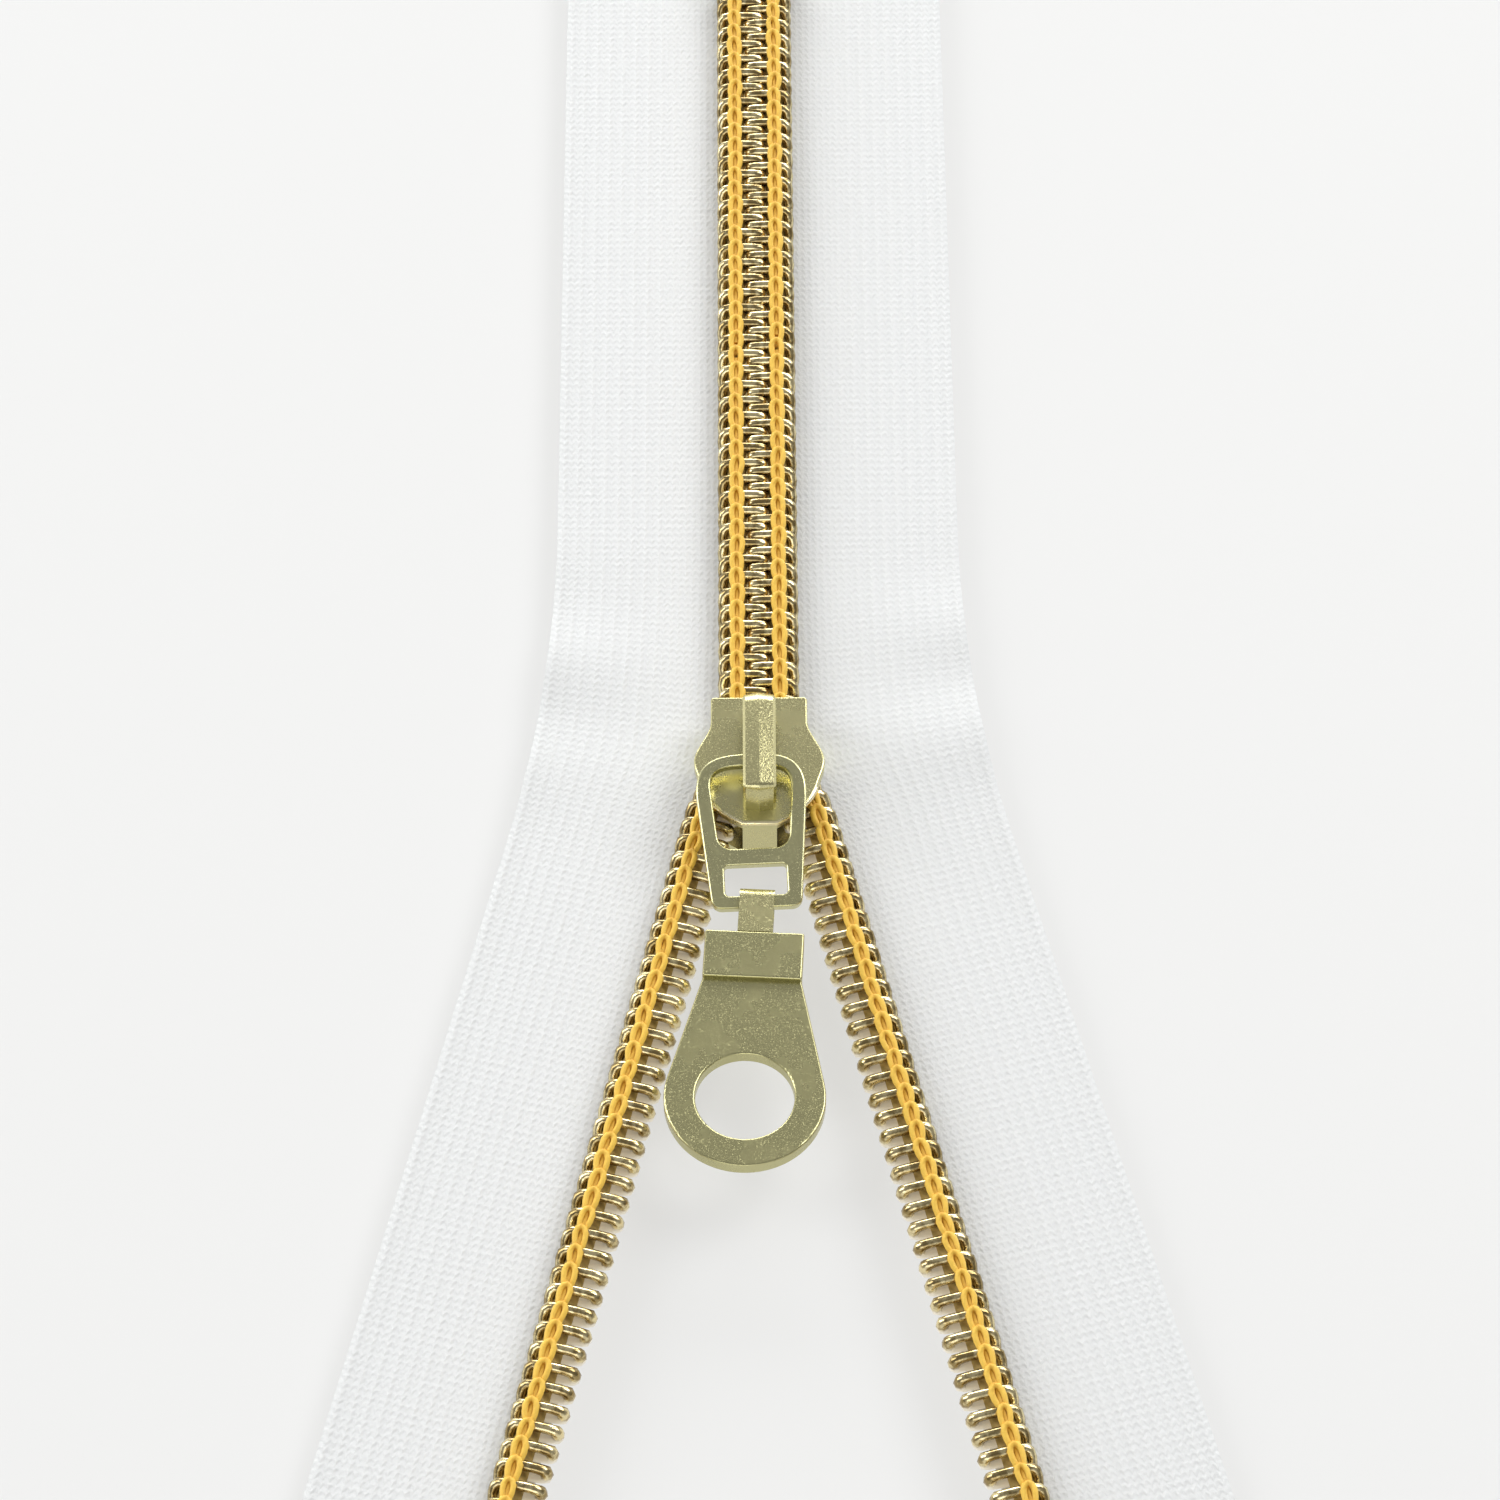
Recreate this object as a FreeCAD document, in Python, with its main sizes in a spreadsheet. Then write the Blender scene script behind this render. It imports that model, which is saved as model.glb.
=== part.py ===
"""A nylon coil zipper with its slider: two woven tapes, two coils, an auto-lock slider and a ring pull.

Frame, in millimetres: +Y towards the closed end of the chain, +X to the right and +Z up, away from
the surface that the zipper lies on.  The origin is the centre of the slider's underside.
The slider stands at the foot of the closed chain, and the two open legs run on towards -Y.
"""

import FreeCAD, Part
import math
import os
import Sketcher

Vector = FreeCAD.Vector
UP = Vector(0, 0, 1)
LEFT = -1
RIGHT = 1
SIDES = {"left": LEFT, "right": RIGHT}

# Every driving dimension: alias, value (millimetres, degrees or a count) and what it is.
DIMENSIONS = [
    ("coil_pitch", 1.5, "distance from loop to loop along one coil"),
    ("loop_thickness", 0.62, "thickness of one loop along the chain"),
    ("coil_heel", 1.47, "from the sewing line out to the coil's outer edge"),
    ("coil_head", 2.18, "from the sewing line in to the tips of the heads"),
    ("coil_base", 1.75, "height of the coil's underside, which lies on the tape"),
    ("coil_height", 2.0, "height of the coil itself"),
    ("loop_chamfer", 0.4, "corner cut of a loop"),
    ("head_lift", 0.1, "gap under the heads, over the other tape"),
    ("backbone_height", 0.4, "height of the strip that joins the loops"),
    ("backbone_reach", 0.83, "from the sewing line in to the strip's inner edge"),
    ("sewing_line", 1.58, "from the middle of the closed chain to each sewing line"),
    ("core_width", 1.3, "width of the filler cord inside a coil"),
    ("core_height", 0.6, "height of the filler cord"),
    ("core_base", 2.35, "height of the filler cord's underside"),
    ("core_gap", 0.1, "clearance round the filler cord"),
    ("core_shift", 0.25, "from the sewing line out to the filler cord's middle"),
    ("stitch_width", 1.0, "width of a row of chain stitches"),
    ("stitch_height", 0.2, "height of the stitches over the coil"),
    ("tape_inner", 0.25, "from the middle of the chain to a tape's inner edge"),
    ("tape_outer", 14.8, "from the middle of the chain to a tape's outer edge"),
    ("tape_base", 1.15, "height of the tape's underside"),
    ("tape_thickness", 0.6, "thickness of the woven tape"),
    ("tape_closed_end", 90.0, "where the tapes end past the bottom stop"),
    ("end_hinge", 73.5, "where the open chain bends away from the closed end"),
    ("end_chain", 77.0, "where the coils end, under the bottom stop"),
    ("run_start", 2.6, "where the two rows part inside the slider"),
    ("part_gap", 0.15, "half the gap between two lengths of tape or coil"),
    ("parting_angle", 22.0, "how steeply the rows part inside the slider"),
    ("legs_meet", 6.8, "where the lines of the two open legs would meet the closed rows"),
    ("left_leg_angle", 13.7, "angle of the left leg away from the chain's line"),
    ("right_leg_angle", 14.0, "angle of the right leg away from the chain's line"),
    ("leg_chain", 72.0, "length of the coil on each leg, down to its top stop"),
    ("leg_tape", 84.0, "length of the tape on each leg"),
    ("tape_shoulder", -6.0, "where the tape's outer edge joins the line of the leg"),
    ("head_margin", 0.1, "gap between a parting head and the middle of the chain"),
    ("slider_length", 10.9, "length of the slider's plates"),
    ("slider_rear", 3.55, "half the width of the slider's rear"),
    ("slider_shoulder", 4.78, "half the width of the slider at its shoulders"),
    ("slider_nose", 1.25, "half the width of the slider's nose"),
    ("plate_thickness", 0.95, "thickness of the slider's lower plate"),
    ("top_plate_base", 4.1, "height of the top plate's underside"),
    ("top_plate_thickness", 0.9, "thickness of the top plate"),
    ("plate_round", 0.14, "rounding of the plates' outer edges"),
    ("wall_thickness", 0.42, "thickness of the slider's side walls"),
    ("wall_base", 2.1, "height of the side walls' lower edges, over the tape slots"),
    ("wall_front", 0.8, "where the side walls end and the two mouths begin"),
    ("post_tip", -0.9, "where the diamond post comes to its edge"),
    ("post_half", 1.25, "half the width of the diamond post at the nose"),
    ("pin_hole_radius", 0.62, "radius of the hole that the lock pin drops through"),
    ("pin_place", 2.35, "place of the lock pin along the slider"),
    ("bridge_width", 2.4, "width of the bridge"),
    ("bridge_rear", 4.15, "rear end of the bridge"),
    ("bridge_front", -4.4, "front end of the bridge"),
    ("bridge_top", 8.2, "height of the bridge's top"),
    ("bridge_thickness", 0.7, "thickness of the bridge's top"),
    ("bridge_leg", 1.2, "thickness of the bridge's front leg"),
    ("bridge_rear_leg", 0.8, "thickness of the bridge's rear leg"),
    ("bridge_rear_bend", 1.3, "outer radius of the bridge's rear corner"),
    ("bridge_front_bend", 0.35, "outer radius of the bridge's front corner"),
    ("bridge_bevel", 0.2, "bevel along the bridge's long edges"),
    ("pawl_width", 1.3, "width of the lock pawl's leaf"),
    ("pawl_thickness", 0.2, "thickness of the leaf"),
    ("pawl_base", 6.93, "height of the leaf's underside"),
    ("pawl_rear", 3.1, "rear end of the leaf"),
    ("pawl_front", -2.9, "front end of the leaf, where it bends"),
    ("pawl_pin_size", 0.5, "size of the lock pin"),
    ("pawl_pin_tip", 3.85, "height of the lock pin's tip, over the coil"),
    ("link_pivot_across", -0.72, "where the link's round bar hangs, across the slider"),
    ("link_pivot_along", -1.05, "where the link's round bar hangs, along the slider"),
    ("link_pivot_height", 6.3, "height of the link's round bar"),
    ("link_slope", 12.0, "how far the link slopes down to its end"),
    ("link_yaw", 2.6, "how far the link leans sideways"),
    ("link_thickness", 0.9, "thickness of the link"),
    ("link_round", 0.15, "rounding of the link's edges"),
    ("link_bar", 0.93, "width of the link's curved bar"),
    ("link_half", 3.98, "half the link's greatest width"),
    ("link_half_place", 3.1, "from the pivot down to the link's widest point"),
    ("link_end_half", 3.25, "half the width of the link's end"),
    ("link_side_bar", 1.05, "width of the link's side bars"),
    ("link_window", 6.4, "length of the link's large window"),
    ("link_crossbar", 1.25, "width of the link's crossbar"),
    ("link_slot", 2.35, "length of the link's small window"),
    ("link_slot_half", 2.25, "half the width of the link's small window"),
    ("link_end_bar", 0.95, "width of the bar that the strap goes round"),
    ("link_corner", 0.8, "radius of the link's outer corners"),
    ("link_window_corner", 1.1, "radius of the large window's lower corners"),
    ("link_slot_corner", 0.3, "radius of the small window's corners"),
    ("strap_width", 2.5, "width of the strap"),
    ("strap_inside", 0.74, "inner radius of the strap round the link's bar"),
    ("strap_thickness", 0.26, "thickness of the strap"),
    ("strap_length", 3.1, "from the link's end bar to the pull's head"),
    ("pull_slope", -3.0, "how far the pull slopes down to its end"),
    ("pull_yaw", -3.3, "how far the pull leans sideways"),
    ("head_half", 3.55, "half the width of the pull's head"),
    ("head_length", 3.9, "length of the pull's head"),
    ("head_thickness", 2.0, "thickness of the pull's head"),
    ("ring_thickness", 1.1, "thickness of the pull's ring"),
    ("ring_radius", 5.7, "outer radius of the pull's ring"),
    ("ring_hole", 3.5, "radius of the hole in the pull"),
    ("ring_place", 13.6, "from the top of the head to the middle of the ring"),
    ("pull_round", 0.15, "rounding of the pull's edges"),
    ("stop_length", 1.9, "length of a top stop along the chain"),
    ("stop_width", 4.4, "width of a top stop"),
    ("stop_height", 0.25, "how far a stop stands over the coil"),
    ("stop_side", 0.4, "how far a stop stands past the coil's sides"),
    ("bottom_stop_length", 2.4, "length of the bottom stop along the chain"),
    ("stop_round", 0.3, "rounding of the stops' edges"),
]

# The slider's flank as shares: behind the shoulders (of the flare, of half the length), then ahead
# of them (of the shoulder, of half the length towards the nose).
REAR_FLANK = [(0.0, 0.62), (0.25, 0.41), (0.68, 0.22), (1.0, 0.0)]
NOSE_FLANK = [(0.935, 0.275), (0.74, 0.67), (0.43, 0.91)]
WINDOW_SHOULDER = 0.75
NEAR = 0.001

document = FreeCAD.newDocument("zipper")
sheet = document.addObject("Spreadsheet::Sheet", "Sizes")
for row, (alias, value, meaning) in enumerate(DIMENSIONS, start=1):
    sheet.set(f"A{row}", meaning)
    sheet.set(f"B{row}", str(value))
    sheet.setAlias(f"B{row}", alias)
document.recompute()

parts = []


def size(alias):
    """The value of one driving dimension, read from the sheet."""
    return float(sheet.get(alias))


def bind(feature, **expressions):
    """Bind each property of a feature to a formula of the sheet's dimensions."""
    for property_name, formula in expressions.items():
        feature.setExpression(property_name.replace("__", "."), formula)


def keep(feature, label):
    """Register a feature as a finished sub-part under its own label."""
    feature.Label = label
    parts.append(feature)
    return feature


def shaped(label, shape, placement=None):
    """A sub-part whose shape comes from the functions below, placed after its shape is set."""
    feature = document.addObject("Part::Feature", label)
    feature.Shape = shape
    feature.Placement = placement or FreeCAD.Placement()
    return keep(feature, label)


# --- Sketches --------------------------------------------------------------------------------


def origin_plane(body, role):
    """One of the body's own origin planes, found by its role."""
    return next(plane for plane in body.Origin.OriginFeatures if plane.Role == role)


def sketch_on(body, role, name):
    """An empty sketch on one of the body's origin planes."""
    sketch = body.newObject("Sketcher::SketchObject", name)
    sketch.AttachmentSupport = [(origin_plane(body, role), "")]
    sketch.MapMode = "FlatFace"
    return sketch


def add_polygon(sketch, corners):
    """Draw a closed polygon whose corners are pairs of formulas, each held by two dimensions."""
    places = [[float(sketch.evalExpression(formula)) for formula in corner] for corner in corners]
    first = sketch.GeometryCount
    for number, (across, along) in enumerate(places):
        following = places[(number + 1) % len(places)]
        line = Part.LineSegment(Vector(across, along, 0), Vector(following[0], following[1], 0))
        sketch.addGeometry(line)
    for number, corner in enumerate(corners):
        line = first + number
        previous = first + (number - 1) % len(corners)
        sketch.addConstraint(Sketcher.Constraint("Coincident", previous, 2, line, 1))
        for kind, place, formula in zip(("DistanceX", "DistanceY"), places[number], corner):
            index = sketch.addConstraint(Sketcher.Constraint(kind, -1, 1, line, 1, place))
            sketch.setExpression(f"Constraints[{index}]", formula)


def rectangle(left, right, low, high):
    """The corners of a rectangle, as formulas."""
    return [(left, low), (right, low), (right, high), (left, high)]


def named_edges(shape, wanted):
    """The names of the edges whose middle and direction pass a test."""
    names = []
    for number, edge in enumerate(shape.Edges, start=1):
        middle = edge.valueAt((edge.FirstParameter + edge.LastParameter) / 2)
        direction = edge.tangentAt(edge.FirstParameter)
        if wanted(middle, direction):
            names.append(f"Edge{number}")
    return names


# --- The tapes, coils, filler cords and stitches ----------------------------------------------


def loop_profile(side, head):
    """Corners of one loop seen along the chain, measured from its sewing line.

    side is -1 for the left row, whose heads point to +X, and 1 for the right row.
    """
    inward = f"{-side}"
    heel = f"{side} * Sizes.coil_heel"
    tip = f"{inward} * {head}"
    top = "Sizes.coil_base + Sizes.coil_height"
    cut = "Sizes.loop_chamfer"
    edge = f"{inward} * Sizes.backbone_reach"
    return [
        (heel, "Sizes.coil_base"),
        (edge, "Sizes.coil_base"),
        (edge, "Sizes.coil_base + Sizes.head_lift"),
        (tip, "Sizes.coil_base + Sizes.head_lift"),
        (tip, f"{top} - {cut}"),
        (f"{tip} - {inward} * {cut}", top),
        (f"{heel} + {inward} * {cut}", top),
        (heel, f"{top} - {cut}"),
    ]


def core_profile(side, gap):
    """Corners of the filler cord, or with a gap of the passage round it."""
    middle = f"{side} * Sizes.core_shift"
    half = f"(Sizes.core_width / 2 + {gap})"
    low = f"Sizes.core_base - {gap}"
    high = f"Sizes.core_base + Sizes.core_height + {gap}"
    return rectangle(f"{middle} - {half}", f"{middle} + {half}", low, high)


def straight_coil(label, side, start, loops, backbone):
    """A straight length of coil: a backbone strip with a row of loops along +Y."""
    body = document.addObject("PartDesign::Body", label)
    strip_sketch = sketch_on(body, "XZ_Plane", f"{label}_strip_profile")
    strip_top = "Sizes.coil_base + Sizes.backbone_height"
    edges = rectangle(
        f"{side} * Sizes.coil_heel", f"{-side} * Sizes.backbone_reach", "Sizes.coil_base", strip_top
    )
    add_polygon(strip_sketch, edges)
    strip = body.newObject("PartDesign::Pad", f"{label}_strip")
    strip.Profile = strip_sketch
    strip.Reversed = True
    bind(strip, Length=backbone)
    loop_sketch = sketch_on(body, "XZ_Plane", f"{label}_loop_profile")
    add_polygon(loop_sketch, loop_profile(side, "Sizes.coil_head"))
    add_polygon(loop_sketch, core_profile(side, "Sizes.core_gap"))
    loop = body.newObject("PartDesign::Pad", f"{label}_loop")
    loop.Profile = loop_sketch
    loop.Reversed = True
    bind(loop, Length="Sizes.loop_thickness")
    row = body.newObject("PartDesign::LinearPattern", f"{label}_loops")
    row.Originals = [loop]
    row.Direction = (origin_plane(body, "Y_Axis"), [""])
    row.Occurrences = loops
    bind(row, Length=f"{loops - 1} * Sizes.coil_pitch")
    body.Tip = row
    bind(body, Placement__Base__x=f"{side} * Sizes.sewing_line", Placement__Base__y=start)
    return keep(body, label)


def strip_box(label, across, width, along, length, base, height):
    """A flat strip with square edges, from formulas for its corner and its three sizes."""
    box = document.addObject("Part::Box", label)
    bind(box, Width=length, Length=width, Height=height)
    bind(box, Placement__Base__x=across, Placement__Base__y=along, Placement__Base__z=base)
    return keep(box, label)


def straight_length(side_name, length_name, start, finish, loop_start, loops, strip, chain_finish):
    """The tape, coil, filler cord and stitches of one straight length of one side."""
    side = SIDES[side_name]
    tape_width = "Sizes.tape_outer - Sizes.tape_inner"
    tape_corner = "Sizes.tape_inner" if side == RIGHT else "-Sizes.tape_outer"
    length = f"{finish} - ({start})"
    chain_length = f"{chain_finish} - ({start})"
    name = f"{side_name}_{length_name}"
    strip_box(
        f"tape_{name}", tape_corner, tape_width, start, length,
        "Sizes.tape_base", "Sizes.tape_thickness",
    )
    straight_coil(f"coil_{name}", side, loop_start, loops, strip)
    core_corner = f"{side} * (Sizes.sewing_line + Sizes.core_shift) - Sizes.core_width / 2"
    strip_box(
        f"core_cord_{name}", core_corner, "Sizes.core_width", start, chain_length,
        "Sizes.core_base", "Sizes.core_height",
    )
    stitch_corner = f"{side} * Sizes.sewing_line - Sizes.stitch_width / 2"
    strip_box(
        f"stitch_row_{name}", stitch_corner, "Sizes.stitch_width", start, chain_length,
        "Sizes.coil_base + Sizes.coil_height", "Sizes.stitch_height",
    )


def leg_path(side, angle):
    """The sewing line of one leg: down inside the slider, out round its post and on along the leg."""
    start = size("run_start") - size("part_gap")
    steep = math.tan(math.radians(size("parting_angle")))
    shallow = math.tan(math.radians(angle))
    bend = (steep * size("run_start") - shallow * size("legs_meet")) / (steep - shallow)
    bend_out = size("sewing_line") + steep * (size("run_start") - bend)
    radians = math.radians(angle)
    rest = size("leg_tape") - math.hypot(bend_out - size("sewing_line"), size("run_start") - bend)
    end_out = bend_out + rest * math.sin(radians)
    return [
        Vector(side * size("sewing_line"), start, 0),
        Vector(side * size("sewing_line"), size("run_start") - 2 * size("part_gap"), 0),
        Vector(side * bend_out, bend, 0),
        Vector(side * end_out, bend - rest * math.cos(radians), 0),
    ]


def direction_at(points, number):
    """The direction of travel of one stretch of a route."""
    return (points[number + 1] - points[number]).normalize()


def outward_of(direction, side):
    """The level direction across a route, pointing away from the other side's route."""
    return direction.cross(UP) * (1 if direction.cross(UP).x * side > 0 else -1)


def route_length(points):
    """The length of a route of straight stretches."""
    return sum(points[number].distanceToPoint(points[number + 1]) for number in range(len(points) - 1))


def place_on(points, distance):
    """The place and direction at a distance along a route."""
    left = distance
    for number in range(len(points) - 1):
        stretch = points[number].distanceToPoint(points[number + 1])
        if left <= stretch or number == len(points) - 2:
            direction = direction_at(points, number)
            return points[number] + direction * left, direction
        left -= stretch


def cut_route(points, length):
    """The first part of a route, of a given length."""
    end, _ = place_on(points, length)
    kept = [points[0]]
    passed = 0.0
    for number in range(1, len(points)):
        passed += points[number].distanceToPoint(points[number - 1])
        if passed >= length:
            break
        kept.append(points[number])
    return kept + [end]


def offset_route(points, side, outwards):
    """A route moved sideways by a distance, with its corners mitred."""
    moved = []
    for number, point in enumerate(points):
        before = outward_of(direction_at(points, max(number - 1, 0)), side)
        after = outward_of(direction_at(points, min(number, len(points) - 2)), side)
        middle = (before + after).normalize()
        moved.append(point + middle * (outwards / middle.dot(after)))
    return moved


def flat_solid(outline, base, height):
    """A flat solid with a polygon for its outline."""
    face = Part.Face(Part.makePolygon(outline + outline[:1]))
    face.translate(Vector(0, 0, base))
    return face.extrude(Vector(0, 0, height))


def ribbon(points, side, inner, outer, base, height):
    """A flat ribbon along a route, between two distances out from it."""
    one_edge = offset_route(points, side, inner)
    other_edge = offset_route(points, side, outer)
    return flat_solid(one_edge + other_edge[::-1], base, height)


def leg_tape(points, side):
    """The tape of one leg: its inner edge follows the route, and its outer edge cuts the corner."""
    inner_edge = offset_route(points, side, size("tape_inner") - size("sewing_line"))
    outer_edge = offset_route(points[-2:], side, size("tape_outer") - size("sewing_line"))
    start, finish = outer_edge
    share = (size("tape_shoulder") - start.y) / (finish.y - start.y)
    shoulder = start + (finish - start) * share
    corner = Vector(side * size("tape_outer"), points[0].y, 0)
    return flat_solid(inner_edge + [finish, shoulder, corner], size("tape_base"), size("tape_thickness"))


def cross_section(corners, place, outward, side):
    """A face standing across a route, from formulas for its corners."""
    points = []
    for formulas in corners:
        across, height = [float(sheet.evalExpression(formula)) for formula in formulas]
        points.append(place + outward * (side * across) + UP * height)
    return Part.Face(Part.makePolygon(points + points[:1]))


def loop_solid(place, direction, side, head):
    """One loop of a leg's coil, standing across the route at a place, with its head's reach."""
    outward = outward_of(direction, side)
    whole = cross_section(loop_profile(side, str(head)), place, outward, side)
    passage = cross_section(core_profile(side, "Sizes.core_gap"), place, outward, side)
    solid = whole.cut(passage).Faces[0].extrude(direction * size("loop_thickness"))
    solid.translate(direction * (-size("loop_thickness") / 2))
    return solid


def leg_coil(points, side, phase):
    """The coil of one leg: a backbone ribbon with a loop at every pitch."""
    solids = [
        ribbon(
            points, side, -size("backbone_reach"), size("coil_heel"),
            size("coil_base"), size("backbone_height"),
        )
    ]
    distance = phase
    while distance < route_length(points) - size("loop_thickness"):
        place, direction = place_on(points, distance)
        inward = outward_of(direction, side) * -1
        room = (side * place.x - size("head_margin")) / abs(inward.x)
        head = min(size("coil_head"), room)
        solids.append(loop_solid(place, direction, side, head))
        distance += size("coil_pitch")
    return solids[0].multiFuse(solids[1:]).removeSplitter()


def leg(side_name):
    """The tape, coil, filler cord and stitches of one open leg."""
    side = SIDES[side_name]
    whole = leg_path(side, size(f"{side_name}_leg_angle"))
    chain = cut_route(whole, size("leg_chain"))
    shaped(f"tape_{side_name}_leg", leg_tape(whole, side))
    phase = size("coil_pitch") * (0.5 if side == LEFT else 1.0)
    shaped(f"coil_{side_name}_leg", leg_coil(chain, side, phase))
    half_core = size("core_width") / 2
    core_in = size("core_shift") - half_core
    core_out = size("core_shift") + half_core
    core = ribbon(chain, side, core_in, core_out, size("core_base"), size("core_height"))
    shaped(f"core_cord_{side_name}_leg", core)
    half_stitch = size("stitch_width") / 2
    top = size("coil_base") + size("coil_height")
    stitches = ribbon(chain, side, -half_stitch, half_stitch, top, size("stitch_height"))
    shaped(f"stitch_row_{side_name}_leg", stitches)
    return chain


# --- The stops --------------------------------------------------------------------------------


def rounded_box(width, length, low, high, rounding):
    """A block standing on z = low, centred across and along, with its upper edges rounded."""
    block = Part.makeBox(width, length, high - low, Vector(-width / 2, -length / 2, low))
    upper = [edge for edge in block.Edges if edge.CenterOfMass.z > (low + high) / 2 + rounding]
    return block.makeFillet(rounding, upper)


def top_stop(side_name, chain):
    """The metal clip over the last loops of one leg."""
    side = SIDES[side_name]
    end, direction = place_on(chain, route_length(chain) + size("stop_length") / 2)
    outward = outward_of(direction, side)
    middle = (size("coil_heel") - size("coil_head")) / 2
    high = size("coil_base") + size("coil_height") + size("stop_height")
    low = size("coil_base")
    block = rounded_box(size("stop_width"), size("stop_length"), low, high, size("stop_round"))
    turn = FreeCAD.Rotation(Vector(0, -1, 0), direction)
    gap = direction * size("part_gap")
    shaped(f"top_stop_{side_name}", block, FreeCAD.Placement(end + outward * middle + gap, turn))


def bottom_stop():
    """The metal clip over the last loops of the closed chain."""
    width = 2 * (size("sewing_line") + size("coil_heel") + size("stop_side"))
    high = size("coil_base") + size("coil_height") + size("stop_height")
    low = size("tape_base") + size("tape_thickness")
    block = rounded_box(width, size("bottom_stop_length"), low, high, size("stop_round"))
    along = size("end_chain") + size("part_gap") + size("bottom_stop_length") / 2
    shaped("bottom_stop", block, FreeCAD.Placement(Vector(0, along, 0), FreeCAD.Rotation()))


# --- The slider -------------------------------------------------------------------------------


def plate_outline(inset):
    """The slider's outline, drawn in by an inset: narrow rear, round shoulders and a flat nose."""
    half_length = size("slider_length") / 2 - inset
    shoulder = size("slider_shoulder") - inset
    rear = size("slider_rear") - inset
    nose = size("slider_nose") - inset
    flare = shoulder - rear
    right_side = [Vector(rear + out * flare, up * half_length, 0) for out, up in REAR_FLANK]
    right_side += [Vector(out * shoulder, -down * half_length, 0) for out, down in NOSE_FLANK]
    right_side.append(Vector(nose, -half_length, 0))
    left_side = [Vector(-point.x, point.y, 0) for point in right_side]
    edges = []
    for flank in (right_side, left_side):
        curve = Part.BSplineCurve()
        curve.interpolate(Points=flank, InitialTangent=Vector(0, -1, 0), FinalTangent=flank[-1] - flank[-2])
        edges.append(curve.toShape())
    rear_right = Vector(rear, half_length, 0)
    rear_left = Vector(-rear, half_length, 0)
    edges.append(Part.makeLine(rear_left, rear_right))
    edges.append(Part.makeLine(rear_right, right_side[0]))
    edges.append(Part.makeLine(rear_left, left_side[0]))
    edges.append(Part.makeLine(right_side[-1], left_side[-1]))
    return Part.Wire(Part.__sortEdges__(edges))


def slider_plate(low, thickness, rounded_height):
    """One plate of the slider, with the edges of its outer face rounded."""
    plate = Part.Face(plate_outline(0)).extrude(Vector(0, 0, thickness))
    plate.translate(Vector(0, 0, low))
    corners = [
        edge for edge in plate.Edges
        if abs(edge.tangentAt(edge.FirstParameter).z) > 0.9 and edge.CenterOfMass.y > 0
        and abs(edge.CenterOfMass.y - size("slider_length") / 2) < NEAR
    ]
    plate = plate.makeFillet(2 * size("plate_round"), corners)
    rim = [edge for edge in plate.Edges if abs(edge.CenterOfMass.z - rounded_height) < NEAR]
    return plate.makeFillet(size("plate_round"), rim)


def side_walls():
    """The two walls under the top plate's edges, from the rear to the mouths."""
    height = size("top_plate_base") - size("wall_base")
    outside = Part.Face(plate_outline(size("part_gap") / 3)).extrude(Vector(0, 0, height))
    inside = Part.Face(plate_outline(size("wall_thickness"))).extrude(Vector(0, 0, height))
    walls = outside.cut(inside)
    length = size("slider_length") / 2 - size("wall_front") - size("wall_thickness")
    region = Part.makeBox(
        2 * size("slider_shoulder"), length, height, Vector(-size("slider_shoulder"), size("wall_front"), 0)
    )
    walls = walls.common(region)
    walls.translate(Vector(0, 0, size("wall_base")))
    return walls.Solids


def diamond_post():
    """The wedge between the plates that parts the two rows."""
    nose = -size("slider_length") / 2
    tip = Vector(0, size("post_tip"), size("plate_thickness"))
    right = Vector(size("post_half"), nose, size("plate_thickness"))
    left = Vector(-size("post_half"), nose, size("plate_thickness"))
    face = Part.Face(Part.makePolygon([tip, right, left, tip]))
    return face.extrude(Vector(0, 0, size("top_plate_base") - size("plate_thickness")))


def slider_body():
    """The slider's lower plate, diamond post, top plate and side walls, cast in one piece."""
    lower = slider_plate(0, size("plate_thickness"), 0)
    top_height = size("top_plate_base") + size("top_plate_thickness")
    upper = slider_plate(size("top_plate_base"), size("top_plate_thickness"), top_height)
    whole = lower.multiFuse([diamond_post(), upper] + side_walls())
    hole = Part.makeCylinder(
        size("pin_hole_radius"), size("top_plate_thickness") * 3,
        Vector(0, size("pin_place"), size("top_plate_base") - size("top_plate_thickness")),
    )
    shaped("slider_body", whole.cut(hole).removeSplitter())


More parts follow.
